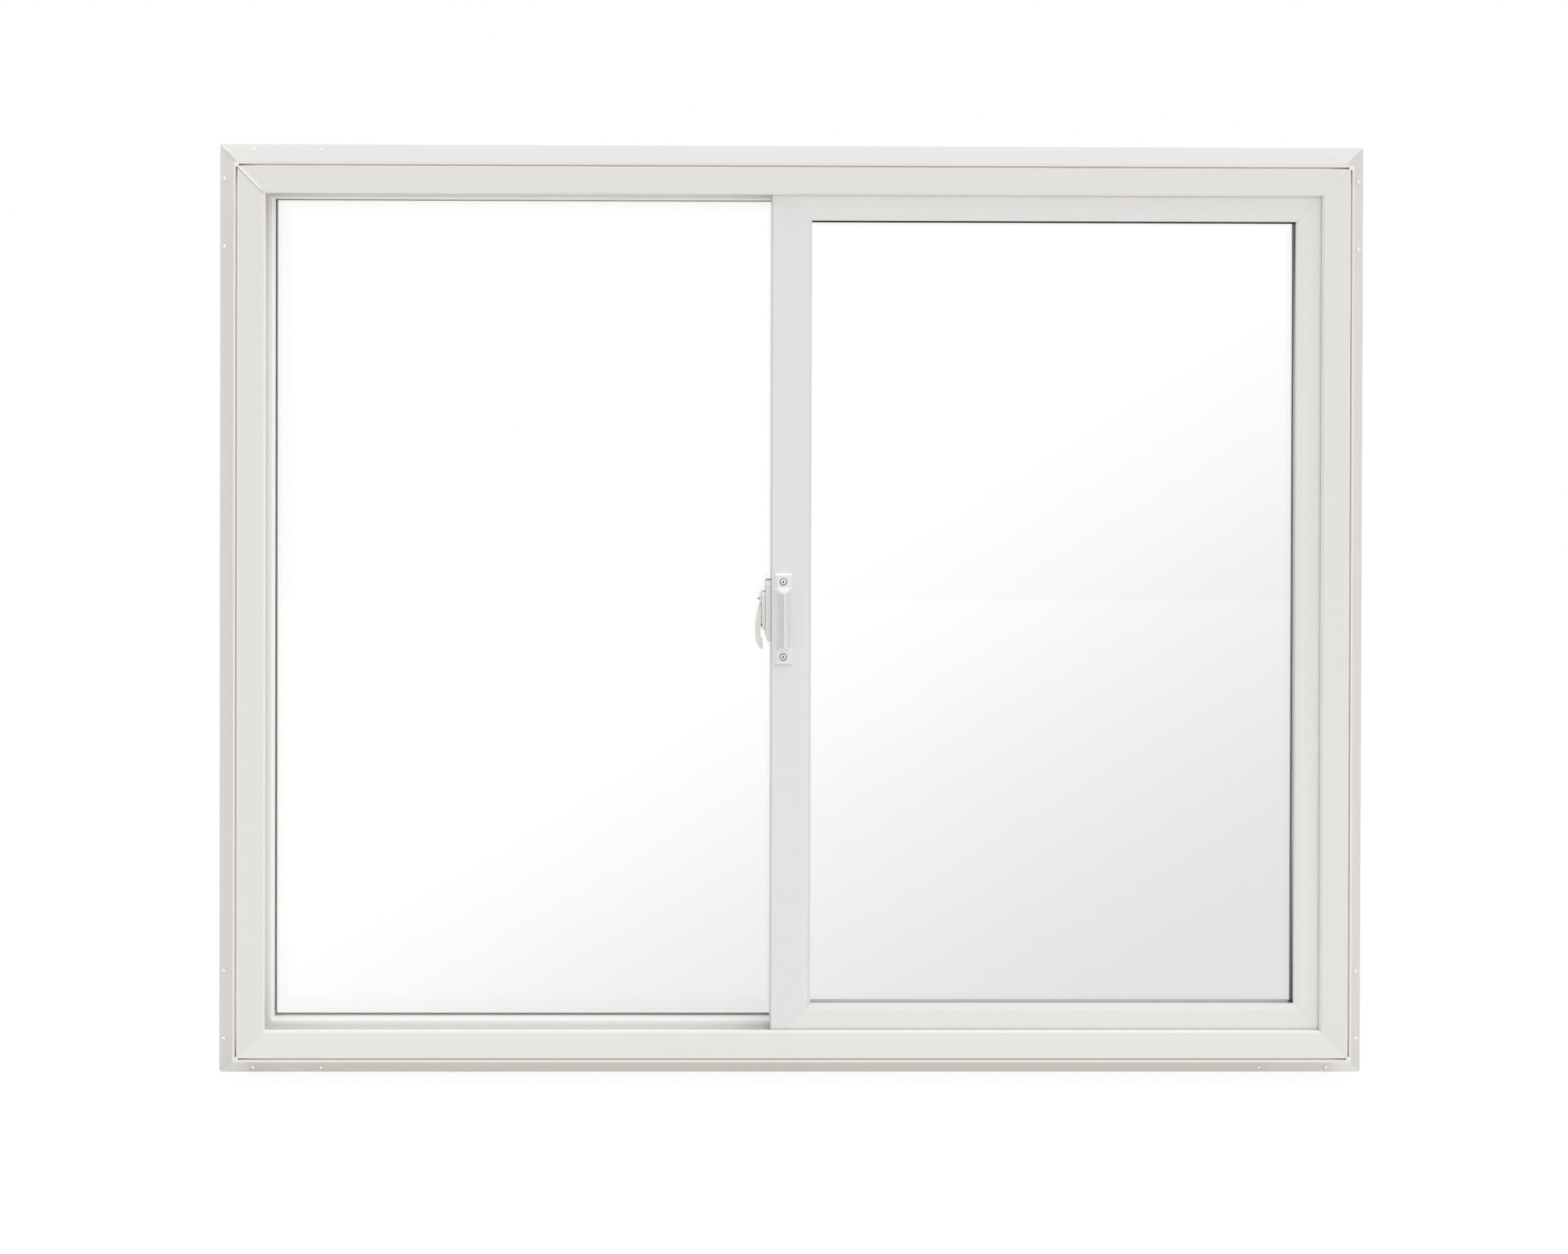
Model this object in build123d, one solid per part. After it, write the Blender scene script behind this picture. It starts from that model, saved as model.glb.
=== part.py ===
from build123d import *
import os

# A white PVC sliding window for a timber-framed wall, seen from the room.
# The left light is glazed straight into the frame and the right one is a sash that runs in the inner track.
# X runs to the right as seen from the room, Y runs towards the outdoors and Z runs up.
# Y is 0 on the face of the nail fin that lies on the wall sheathing.
# The origin is on the bottom nail line of that face.

# Frame, all in millimetres
WIDTH = 1511.0
HEIGHT = 1213.0
ROOM_DEPTH = 51.0
OUTDOOR_DEPTH = 31.5

# Nail fin
FIN_WIDTH = 33.0
FIN_THICK = 1.8
NAIL_EDGE = 6.0
NAIL_RADIUS = 2.2
NAIL_FIRST = 46.5
NAIL_SECOND = 140.0
FIN_ROUND = 4.0

# Frame section, each reach measured inwards from the outer face of the frame
OUTER_LIP = 3.0
GROOVE_WIDTH = 2.6
GROOVE_DEPTH = 4.5
FACE_REACH = 41.5
FACE_ROUND = 2.5
FACE_THICK = 7.0
TRACK_REACH = 14.0
LEG_REACH = 41.0
LEG_NOSE = 4.5
LEG_NOSE_STEP = 4.0
LEG_FRONT = 41.0
LEG_BACK = 60.0
OUTDOOR_ROUND = 1.5

# Glazing
PANE_THICK = 2.4
SPACER_DEPTH = 11.1
SPACER_WIDTH = 7.0
SPACER_INSET = 4.0
TAPE_THICK = 1.0
TAPE_WIDTH = 9.0
GLASS_COVER = 12.0
BLOCK_THICK = 4.0
BLOCK_LENGTH = 100.0
BLOCK_INSET = 160.0
BEAD_STAND = -1.0
BEAD_NOSE = 2.1
BEAD_SHOULDER = 11.0
BEAD_FOOT_DEEP = 2.0
BEAD_FOOT_WIDE = 1.5
BEAD_FOOT_BACK = 2.0

# Sash
SASH_SETBACK = 9.0
SASH_THICK = 30.0
SASH_PROFILE = 54.0
SASH_SLOPE_WIDE = 7.5
SASH_SLOPE_DEEP = 2.0
SASH_LEG_THICK = 6.0
SASH_EDGE_ROUND = 0.8
RAIL_ENTRY = 20.8
JAMB_ENTRY = 19.5
STILE_LAP = 30.3

# Meeting rail of the fixed light, with its places measured from the middle of the window
FIXED_RAIL_LEFT = -28.0
FIXED_RAIL_WALL = -12.0
FIXED_RAIL_RIGHT = 10.0
FIXED_RAIL_FRONT = -2.5
HOOK_THICK = 1.8
HOOK_REACH = 7.5
HOOK_GAP = 2.0
SASH_HOOK_DEEP = 7.5

# Pile seals
PILE_WIDTH = 4.0
PILE_INSET = 4.0

# Rollers and their track
AXLE_RADIUS = 1.6
AXLE_CLEARANCE = 0.05
ROLLER_RADIUS = 9.0
ROLLER_WIDTH = 7.0
ROLLER_GROOVE_WIDE = 3.8
ROLLER_GROOVE_DEEP = 1.5
ROLLER_RISE = 4.0
ROLLER_INSET = 110.0
HOUSING_LENGTH = 54.0
HOUSING_WIDTH = 14.0
HOUSING_HEIGHT = 16.0
HOUSING_SLOT_WIDE = 8.0
HOUSING_SLOT_LONG = 26.0
HOUSING_ROOF = 2.0
TRACK_BASE_WIDE = 18.0
TRACK_BASE_THICK = 1.5
TRACK_RAIL_WIDE = 3.0
TRACK_END_GAP = 0.5

# Blocks in the head track that stop the closed sash from being lifted out
LIFT_BLOCK_LENGTH = 45.0
LIFT_BLOCK_WIDTH = 20.0
LIFT_BLOCK_GAP = 1.0
LIFT_BLOCK_INSET = 150.0

# Weep slots and covers on the outdoor face of the sill
WEEP_INSET = 230.0
WEEP_LENGTH = 30.0
WEEP_HEIGHT = 5.0
WEEP_DEEP = 8.0
WEEP_REACH = 11.0
COVER_LENGTH = 46.0
COVER_HEIGHT = 11.0
COVER_THICK = 3.0

# Pull handle on the room face of the meeting stile
HANDLE_OFFSET = 15.9
HANDLE_DROP = 9.0
HANDLE_WIDTH = 23.0
PAD_LENGTH = 19.3
PAD_THICK = 4.0
PAD_CHAMFER = 2.8
GRIP_STAND = 24.0
GRIP_RAMP = 7.5
GRIP_GAP = 11.0
GRIP_LEG = 5.0
GRIP_RIDGE = 1.0
SCREW_SPACING = 101.6
SCREW_END = 11.45
SCREW_HEAD_RADIUS = 5.2
SCREW_HEAD_THICK = 1.6
SCREW_HEAD_BEVEL = 1.0
SCREW_SHANK_RADIUS = 2.0

# Sweep lock on the left side of the meeting stile
LOCK_RISE = 1.5
LOCK_BEVEL = 1.5
LOCK_BASE_LENGTH = 84.6
LOCK_BASE_THICK = 7.7
LOCK_BASE_WIDTH = 22.0
LOCK_BASE_FOOT = 13.0
LOCK_BODY_LENGTH = 53.2
LOCK_BODY_THICK = 5.4
LOCK_BODY_WIDTH = 18.0
LOCK_BODY_FOOT = 5.0
LOCK_FOOT_IN = 3.2
PIVOT_RISE = 18.0
PIVOT_RADIUS = 1.5
PIVOT_STAND = 2.8
PIVOT_CLEARANCE = 0.1
LEVER_GAP = 0.3
LEVER_HUB_RADIUS = 9.0
LEVER_HUB_THICK = 1.7
LEVER_WIDTH = 12.0
LEVER_ROOT = 5.0
LEVER_LENGTH = 69.0
LEVER_BOW = 5.9
LEVER_BOW_AT = 49.0
LEVER_SLACK = 0.8
LEVER_TIP_IN = 4.4
LEVER_TIP_LONG = 14.5
LEVER_TIP_TAPER = 1.0
LEVER_CURVE_START = (-0.3, -1.0)
LEVER_CURVE_END = (1.0, -0.2)
CAM_LENGTH = 14.0
CAM_THICK = 3.0
CAM_WIDTH = 10.0
KEEPER_LENGTH = 40.0
KEEPER_WIDTH = 8.0
KEEPER_THICK = 3.0

# How far a cutting body runs past the face it opens, and how near a point must be to count as the same corner
CUT_PAST = 1.0
SAME_POINT = 0.01

# Places worked out from the sizes above
FACE_Y = -ROOM_DEPTH
TRACK_FRONT_Y = FACE_Y + FACE_THICK
LEG_FRONT_Y = FACE_Y + LEG_FRONT
LEG_BACK_Y = FACE_Y + LEG_BACK
POCKET_REACH = LEG_REACH - GLASS_COVER - BLOCK_THICK
SASH_FRONT_Y = FACE_Y + SASH_SETBACK
SASH_BACK_Y = SASH_FRONT_Y + SASH_THICK
SASH_MIDDLE_Y = SASH_FRONT_Y + SASH_THICK / 2
SASH_POCKET = SASH_PROFILE - GLASS_COVER - BLOCK_THICK
SASH_LEG_Y = SASH_FRONT_Y + SASH_SLOPE_DEEP + SASH_LEG_THICK
SASH_WIDTH = WIDTH / 2 - JAMB_ENTRY + STILE_LAP
SASH_HEIGHT = HEIGHT - 2 * RAIL_ENTRY
SASH_X = (WIDTH / 2 - JAMB_ENTRY - STILE_LAP) / 2
UNIT_THICK = 2 * PANE_THICK + SPACER_DEPTH
FIXED_GLASS_Y = LEG_BACK_Y + TAPE_THICK
SASH_GLASS_Y = SASH_LEG_Y + TAPE_THICK
FIXED_OPENING_W = WIDTH / 2 - LEG_REACH + FIXED_RAIL_LEFT
FIXED_OPENING_H = HEIGHT - 2 * LEG_REACH
FIXED_X = (FIXED_RAIL_LEFT - WIDTH / 2 + LEG_REACH) / 2
HANDLE_LENGTH = SCREW_SPACING + 2 * SCREW_END
TO_DATUM = Pos(0, 0, HEIGHT / 2 + FIN_WIDTH - NAIL_EDGE)

# The turn about Y that takes a bottom bar to each side of a ring, in the order of the names given to it
SIDE_TURNS = (0, -90, 180, 90)


def outline(*points):
    """A flat section from its corner points."""
    return make_face(Polyline(*points, close=True))


def rounded(section, radius, *corners):
    """The section with the corners at these points rounded."""
    picked = []
    for corner in corners:
        picked += [v for v in section.vertices() if (Vector(v) - Vector(*corner)).length < SAME_POINT]
    return fillet(picked, radius)


def mitred_bar(section, length):
    """A bar along X from a section drawn in depth and reach, with its ends cut at 45 degrees for the weld."""
    box = section.bounding_box()
    low, high = box.min.Y, box.max.Y
    low_half, high_half = length / 2 - low, length / 2 - high
    side_view = outline((-low_half, low), (low_half, low), (high_half, high), (-high_half, high))
    bar = extrude(Plane.YZ * section, amount=low_half, both=True)
    reach = max(abs(box.min.X), abs(box.max.X)) + CUT_PAST
    return bar & extrude(Plane.XZ * side_view, amount=reach, both=True)


def ring_side(bar, turn, width, height, centre_x=0):
    """A bottom bar turned and moved to one side of a ring round this width and height."""
    distance = height / 2 if turn in (0, 180) else width / 2
    return Pos(centre_x, 0, 0) * Rot(0, turn, 0) * Pos(0, 0, -distance) * bar


def ring(names, section, width, height, centre_x=0):
    """Four mitred bars, named bottom, right, top and left."""
    bars = {}
    for name, turn in zip(names, SIDE_TURNS):
        length = width if turn in (0, 180) else height
        bars[name] = ring_side(mitred_bar(section, length), turn, width, height, centre_x)
    return bars


def block(x_span, y_span, z_span):
    """A box between two places along each axis."""
    spans = (x_span, y_span, z_span)
    sizes = [high - low for low, high in spans]
    centre = [(low + high) / 2 for low, high in spans]
    return Pos(*centre) * Box(*sizes)


def flat_ring(width, height, inset, band, y_low, y_high, centre_x):
    """A one-piece rectangular ring, inset from this width and height."""
    outer = Pos(centre_x, 0, 0) * Rectangle(width - 2 * inset, height - 2 * inset)
    inner = Pos(centre_x, 0, 0) * Rectangle(width - 2 * (inset + band), height - 2 * (inset + band))
    return Pos(0, y_high, 0) * extrude(Plane.XZ * (outer - inner), amount=y_high - y_low)


def frame_section():
    """Nail fin, drywall groove, room face, sash track, glazing leg and glazing pocket in one extrusion."""
    groove_reach = OUTER_LIP + GROOVE_WIDTH
    nose_reach = LEG_REACH - LEG_NOSE
    foot_y = OUTDOOR_DEPTH - BEAD_FOOT_BACK
    section = outline(
        (OUTDOOR_DEPTH, 0),
        (FIN_THICK, 0),
        (FIN_THICK, -FIN_WIDTH),
        (0, -FIN_WIDTH),
        (0, 0),
        (FACE_Y, 0),
        (FACE_Y, OUTER_LIP),
        (FACE_Y + GROOVE_DEPTH, OUTER_LIP),
        (FACE_Y + GROOVE_DEPTH, groove_reach),
        (FACE_Y, groove_reach),
        (FACE_Y, FACE_REACH),
        (TRACK_FRONT_Y, FACE_REACH),
        (TRACK_FRONT_Y, TRACK_REACH),
        (LEG_FRONT_Y + LEG_NOSE_STEP, TRACK_REACH),
        (LEG_FRONT_Y + LEG_NOSE_STEP, nose_reach),
        (LEG_FRONT_Y, nose_reach),
        (LEG_FRONT_Y, LEG_REACH),
        (LEG_BACK_Y, LEG_REACH),
        (LEG_BACK_Y, POCKET_REACH),
        (foot_y - BEAD_FOOT_WIDE, POCKET_REACH),
        (foot_y - BEAD_FOOT_WIDE, POCKET_REACH - BEAD_FOOT_DEEP),
        (foot_y, POCKET_REACH - BEAD_FOOT_DEEP),
        (foot_y, POCKET_REACH),
        (OUTDOOR_DEPTH, POCKET_REACH),
    )
    section = rounded(section, FACE_ROUND, (FACE_Y, FACE_REACH))
    return rounded(section, OUTDOOR_ROUND, (OUTDOOR_DEPTH, 0))


def nail_holes(length):
    """Nails along the fin of one bar, two near each end."""
    fin_half = length / 2 + FIN_WIDTH
    places = [side * (fin_half - step) for side in (-1, 1) for step in (NAIL_FIRST, NAIL_SECOND)]
    drill = Rot(90, 0, 0) * Cylinder(NAIL_RADIUS, 2 * (FIN_THICK + CUT_PAST))
    return [Pos(x, 0, NAIL_EDGE - FIN_WIDTH) * drill for x in places]


def weep_slots():
    """Slots that drain the sill, cut from its outdoor face."""
    slot = Box(WEEP_LENGTH, 2 * WEEP_DEEP, WEEP_HEIGHT)
    return [Pos(side * (WIDTH / 2 - WEEP_INSET), OUTDOOR_DEPTH, WEEP_REACH) * slot for side in (-1, 1)]


def fin_envelope():
    """The outline of the whole window with the corners of the nail fin rounded off."""
    plate = RectangleRounded(WIDTH + 2 * FIN_WIDTH, HEIGHT + 2 * FIN_WIDTH, FIN_ROUND)
    return extrude(Plane.XZ * plate, amount=ROOM_DEPTH + OUTDOOR_DEPTH, both=True)


def frame_bars():
    """The four welded bars of the frame, with their nail holes and the weep slots of the sill."""
    section = frame_section()
    envelope = fin_envelope()
    bars = {}
    names = ("frame_sill", "frame_right_jamb", "frame_head", "frame_left_jamb")
    for name, turn in zip(names, SIDE_TURNS):
        length = WIDTH if turn in (0, 180) else HEIGHT
        bar = mitred_bar(section, length) - nail_holes(length)
        if name == "frame_sill":
            bar = bar - weep_slots()
        bars[name] = ring_side(bar, turn, WIDTH, HEIGHT) & envelope
    return bars


def bead_section(glass_back, face_y, sight):
    """An outdoor glazing bead that stands on the pocket floor, with a snap foot and a sloped face."""
    foot_y = face_y - BEAD_FOOT_BACK
    return outline(
        (glass_back, 0),
        (foot_y - BEAD_FOOT_WIDE, 0),
        (foot_y - BEAD_FOOT_WIDE, -BEAD_FOOT_DEEP),
        (foot_y, -BEAD_FOOT_DEEP),
        (foot_y, 0),
        (face_y, 0),
        (face_y, BEAD_SHOULDER),
        (glass_back + BEAD_NOSE, sight + BEAD_STAND),
        (glass_back, sight + BEAD_STAND),
    )


def pane(width, height, y_low, centre_x):
    """One sheet of glass."""
    return block(
        (centre_x - width / 2, centre_x + width / 2),
        (y_low, y_low + PANE_THICK),
        (-height / 2, height / 2),
    )


def glass_unit(prefix, width, height, y_low, centre_x):
    """Two panes on a spacer, the tape they bed on and their two setting blocks."""
    gap_low, gap_high = y_low + PANE_THICK, y_low + PANE_THICK + SPACER_DEPTH
    low_edge = -height / 2
    blocks = []
    for side in (-1, 1):
        middle = centre_x + side * (width / 2 - BLOCK_INSET)
        blocks.append(
            block(
                (middle - BLOCK_LENGTH / 2, middle + BLOCK_LENGTH / 2),
                (y_low, y_low + UNIT_THICK),
                (low_edge - BLOCK_THICK, low_edge),
            )
        )
    size = (width, height)
    tape = flat_ring(*size, GLASS_COVER - TAPE_WIDTH, TAPE_WIDTH, y_low - TAPE_THICK, y_low, centre_x)
    return {
        prefix + "_glass_room": pane(*size, y_low, centre_x),
        prefix + "_glass_outdoor": pane(*size, gap_high, centre_x),
        prefix + "_glass_spacer": flat_ring(*size, SPACER_INSET, SPACER_WIDTH, gap_low, gap_high, centre_x),
        prefix + "_glazing_tape": tape,
        prefix + "_setting_blocks": Compound(blocks),
    }


def fixed_light():
    """The left light: its glass, its beads and the meeting rail that closes it on the right."""
    cover = 2 * GLASS_COVER
    parts = glass_unit("fixed", FIXED_OPENING_W + cover, FIXED_OPENING_H + cover, FIXED_GLASS_Y, FIXED_X)
    pocket_w = FIXED_RAIL_WALL + WIDTH / 2 - POCKET_REACH
    pocket_h = HEIGHT - 2 * POCKET_REACH
    pocket_x = (FIXED_RAIL_WALL - WIDTH / 2 + POCKET_REACH) / 2
    section = bead_section(FIXED_GLASS_Y + UNIT_THICK, OUTDOOR_DEPTH, LEG_REACH - POCKET_REACH)
    names = ("fixed_bead_bottom", "fixed_bead_right", "fixed_bead_top", "fixed_bead_left")
    parts.update(ring(names, section, pocket_w, pocket_h, pocket_x))
    parts["fixed_meeting_rail"] = fixed_meeting_rail()
    return parts


def fixed_meeting_rail():
    """The upright that holds the fixed glass, with the hook that the sash locks into along its front."""
    hook_front = SASH_BACK_Y + HOOK_GAP
    hook_left = FIXED_RAIL_LEFT + HOOK_GAP + HOOK_THICK
    front = outline(
        (FIXED_RAIL_LEFT, FIXED_RAIL_FRONT),
        (hook_left + HOOK_REACH - HOOK_THICK, FIXED_RAIL_FRONT),
        (hook_left + HOOK_REACH - HOOK_THICK, hook_front + HOOK_THICK),
        (hook_left, hook_front + HOOK_THICK),
        (hook_left, hook_front),
        (hook_left + HOOK_REACH, hook_front),
        (hook_left + HOOK_REACH, FIXED_RAIL_FRONT),
        (FIXED_RAIL_RIGHT, FIXED_RAIL_FRONT),
        (FIXED_RAIL_RIGHT, LEG_BACK_Y),
        (FIXED_RAIL_LEFT, LEG_BACK_Y),
    )
    foot_y = OUTDOOR_DEPTH - BEAD_FOOT_BACK
    rear = outline(
        (FIXED_RAIL_WALL, LEG_BACK_Y),
        (FIXED_RAIL_RIGHT, LEG_BACK_Y),
        (FIXED_RAIL_RIGHT, OUTDOOR_DEPTH),
        (FIXED_RAIL_WALL, OUTDOOR_DEPTH),
        (FIXED_RAIL_WALL, foot_y),
        (FIXED_RAIL_WALL + BEAD_FOOT_DEEP, foot_y),
        (FIXED_RAIL_WALL + BEAD_FOOT_DEEP, foot_y - BEAD_FOOT_WIDE),
        (FIXED_RAIL_WALL, foot_y - BEAD_FOOT_WIDE),
    )
    front_bar = extrude(front, amount=HEIGHT / 2 - LEG_REACH, both=True)
    rear_bar = extrude(rear, amount=HEIGHT / 2 - POCKET_REACH, both=True)
    return front_bar + rear_bar


def sash_section():
    """The sash bar: flat room face, sloped edge down to the glass and a pocket open to the outdoors."""
    flat = SASH_PROFILE - SASH_SLOPE_WIDE
    foot_y = SASH_BACK_Y - BEAD_FOOT_BACK
    section = outline(
        (SASH_BACK_Y, 0),
        (SASH_FRONT_Y, 0),
        (SASH_FRONT_Y, flat),
        (SASH_FRONT_Y + SASH_SLOPE_DEEP, SASH_PROFILE),
        (SASH_LEG_Y, SASH_PROFILE),
        (SASH_LEG_Y, SASH_POCKET),
        (foot_y - BEAD_FOOT_WIDE, SASH_POCKET),
        (foot_y - BEAD_FOOT_WIDE, SASH_POCKET - BEAD_FOOT_DEEP),
        (foot_y, SASH_POCKET - BEAD_FOOT_DEEP),
        (foot_y, SASH_POCKET),
        (SASH_BACK_Y, SASH_POCKET),
    )
    return rounded(section, SASH_EDGE_ROUND, (SASH_FRONT_Y, 0), (SASH_FRONT_Y, flat))


def roller_places():
    """The X places of the two rollers."""
    return [SASH_X + side * (SASH_WIDTH / 2 - ROLLER_INSET) for side in (-1, 1)]


def sash_hook():
    """The hook along the back of the meeting stile, which opens towards the closed position."""
    left = -STILE_LAP
    tip_y = SASH_BACK_Y + SASH_HOOK_DEEP
    section = outline(
        (left, SASH_BACK_Y),
        (left + HOOK_THICK, SASH_BACK_Y),
        (left + HOOK_THICK, tip_y - HOOK_THICK),
        (left + HOOK_REACH, tip_y - HOOK_THICK),
        (left + HOOK_REACH, tip_y),
        (left, tip_y),
    )
    return extrude(section, amount=HEIGHT / 2 - LEG_REACH - HOOK_GAP, both=True)


def sash():
    """The right light: welded sash, its glass, its beads and its rollers."""
    names = ("sash_bottom_rail", "sash_jamb_stile", "sash_top_rail", "sash_meeting_stile")
    parts = ring(names, sash_section(), SASH_WIDTH, SASH_HEIGHT, SASH_X)
    pocket = Box(HOUSING_LENGTH, HOUSING_WIDTH, 2 * HOUSING_HEIGHT)
    pockets = [Pos(x, SASH_MIDDLE_Y, -SASH_HEIGHT / 2) * pocket for x in roller_places()]
    parts["sash_bottom_rail"] -= pockets
    parts["sash_meeting_stile"] += sash_hook()
    edge = 2 * (SASH_PROFILE - GLASS_COVER)
    parts.update(glass_unit("sash", SASH_WIDTH - edge, SASH_HEIGHT - edge, SASH_GLASS_Y, SASH_X))
    names = ("sash_bead_bottom", "sash_bead_right", "sash_bead_top", "sash_bead_left")
    section = bead_section(SASH_GLASS_Y + UNIT_THICK, SASH_BACK_Y, SASH_PROFILE - SASH_POCKET)
    inset = 2 * SASH_POCKET
    parts.update(ring(names, section, SASH_WIDTH - inset, SASH_HEIGHT - inset, SASH_X))
    return parts


def rollers():
    """Two grooved wheels on pins in moulded housings, and the raised track in the sill that they run on."""
    sash_low = -SASH_HEIGHT / 2
    tread = ROLLER_RADIUS - ROLLER_GROOVE_DEEP
    half, groove = ROLLER_WIDTH / 2, ROLLER_GROOVE_WIDE / 2
    bore = AXLE_RADIUS + AXLE_CLEARANCE
    half_section = outline(
        (bore, -half),
        (ROLLER_RADIUS, -half),
        (ROLLER_RADIUS, -groove),
        (tread, -groove),
        (tread, groove),
        (ROLLER_RADIUS, groove),
        (ROLLER_RADIUS, half),
        (bore, half),
    )
    wheel = Rot(90, 0, 0) * revolve(Plane.XZ * half_section, Axis.Z)
    pin = Rot(90, 0, 0) * Cylinder(AXLE_RADIUS, HOUSING_WIDTH)
    body = Pos(0, 0, HOUSING_HEIGHT / 2) * Box(HOUSING_LENGTH, HOUSING_WIDTH, HOUSING_HEIGHT)
    slot = Box(HOUSING_SLOT_LONG, HOUSING_SLOT_WIDE, HOUSING_HEIGHT)
    slot = Pos(0, 0, HOUSING_HEIGHT / 2 - HOUSING_ROOF) * slot
    housing = body - slot - Pos(0, 0, ROLLER_RISE) * pin
    wheels, pins, housings = [], [], []
    for x in roller_places():
        wheels.append(Pos(x, SASH_MIDDLE_Y, sash_low + ROLLER_RISE) * wheel)
        pins.append(Pos(x, SASH_MIDDLE_Y, sash_low + ROLLER_RISE) * pin)
        housings.append(Pos(x, SASH_MIDDLE_Y, sash_low) * housing)
    floor = TRACK_REACH - HEIGHT / 2
    track_half = WIDTH / 2 - TRACK_REACH - TRACK_END_GAP
    base_half, rail_half = TRACK_BASE_WIDE / 2, TRACK_RAIL_WIDE / 2
    rail_top = sash_low + ROLLER_RISE - tread
    span = (-track_half, track_half)
    base_y = (SASH_MIDDLE_Y - base_half, SASH_MIDDLE_Y + base_half)
    rail_y = (SASH_MIDDLE_Y - rail_half, SASH_MIDDLE_Y + rail_half)
    base = block(span, base_y, (floor, floor + TRACK_BASE_THICK))
    rail = block(span, rail_y, (floor, rail_top))
    return {
        "roller_wheels": Compound(wheels),
        "roller_pins": Compound(pins),
        "roller_housings": Compound(housings),
        "sill_roller_track": base + rail,
    }


def seals():
    """Pile strips between the sash and the frame, and between the two meeting rails."""
    front = outline(
        (TRACK_FRONT_Y, PILE_INSET),
        (SASH_FRONT_Y, PILE_INSET),
        (SASH_FRONT_Y, PILE_INSET + PILE_WIDTH),
        (TRACK_FRONT_Y, PILE_INSET + PILE_WIDTH),
    )
    nose_mid = LEG_REACH - LEG_NOSE / 2 - RAIL_ENTRY
    back = outline(
        (SASH_BACK_Y, nose_mid - PILE_WIDTH / 2),
        (LEG_FRONT_Y, nose_mid - PILE_WIDTH / 2),
        (LEG_FRONT_Y, nose_mid + PILE_WIDTH / 2),
        (SASH_BACK_Y, nose_mid + PILE_WIDTH / 2),
    )
    parts = {}
    for label, section in (("room", front), ("outdoor", back)):
        strips = ring(("bottom", "right", "top", "left"), section, SASH_WIDTH, SASH_HEIGHT, SASH_X)
        parts["sash_pile_" + label] = Compound([strips["bottom"], strips["right"], strips["top"]])
    hook_left = FIXED_RAIL_LEFT + HOOK_GAP + HOOK_THICK
    half = HEIGHT / 2 - LEG_REACH
    hook_span = (hook_left, hook_left + PILE_WIDTH)
    parts["meeting_pile"] = block(hook_span, (SASH_BACK_Y, SASH_BACK_Y + HOOK_GAP), (-half, half))
    return parts


def lift_blocks():
    """Blocks on the floor of the head track, over the closed sash."""
    high = HEIGHT / 2 - TRACK_REACH
    thick = RAIL_ENTRY - TRACK_REACH - LIFT_BLOCK_GAP
    body = Box(LIFT_BLOCK_LENGTH, LIFT_BLOCK_WIDTH, thick)
    places = [SASH_X + side * (SASH_WIDTH / 2 - LIFT_BLOCK_INSET) for side in (-1, 1)]
    return {"head_lift_blocks": Compound([Pos(x, SASH_MIDDLE_Y, high - thick / 2) * body for x in places])}


def weep_covers():
    """Small hoods over the weep slots."""
    low = WEEP_REACH - HEIGHT / 2
    hood = Pos(0, COVER_THICK / 2, 0) * Box(COVER_LENGTH, COVER_THICK, COVER_HEIGHT)
    hood = chamfer(hood.faces().sort_by(Axis.Y)[-1].edges(), COVER_THICK / 2)
    half = WIDTH / 2 - WEEP_INSET
    return {"weep_covers": Compound([Pos(side * half, OUTDOOR_DEPTH, low) * hood for side in (-1, 1)])}


def handle_grip(inner):
    """The bow between the pads: a side view that ramps up to the grip, cut to a ridge by its section."""
    ridge_end = inner - GRIP_RAMP
    gap_foot = inner - GRIP_LEG
    gap_top = gap_foot - GRIP_RAMP / 2
    side_view = outline(
        (0, inner),
        (-PAD_THICK, inner),
        (-GRIP_STAND, ridge_end),
        (-GRIP_STAND, -ridge_end),
        (-PAD_THICK, -inner),
        (0, -inner),
        (0, -gap_foot),
        (-GRIP_GAP, -gap_top),
        (-GRIP_GAP, gap_top),
        (0, gap_foot),
    )
    base = HANDLE_WIDTH / 2 - PAD_CHAMFER
    ridge = outline(
        (-base, 0),
        (-base, -PAD_THICK),
        (-GRIP_RIDGE / 2, -GRIP_STAND),
        (GRIP_RIDGE / 2, -GRIP_STAND),
        (base, -PAD_THICK),
        (base, 0),
    )
    bow = extrude(Plane.YZ * side_view, amount=base, both=True)
    return bow & extrude(ridge, amount=inner, both=True)


def handle_screw():
    """A pan-head screw whose head sits on the pad, with its shank through the pad."""
    half_section = outline(
        (0, SCREW_HEAD_THICK),
        (SCREW_HEAD_RADIUS - SCREW_HEAD_BEVEL, SCREW_HEAD_THICK),
        (SCREW_HEAD_RADIUS, SCREW_HEAD_THICK - SCREW_HEAD_BEVEL),
        (SCREW_HEAD_RADIUS, 0),
        (SCREW_SHANK_RADIUS, 0),
        (SCREW_SHANK_RADIUS, -PAD_THICK),
        (0, -PAD_THICK),
    )
    return Rot(90, 0, 0) * revolve(Plane.XZ * half_section, Axis.Z)


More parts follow.
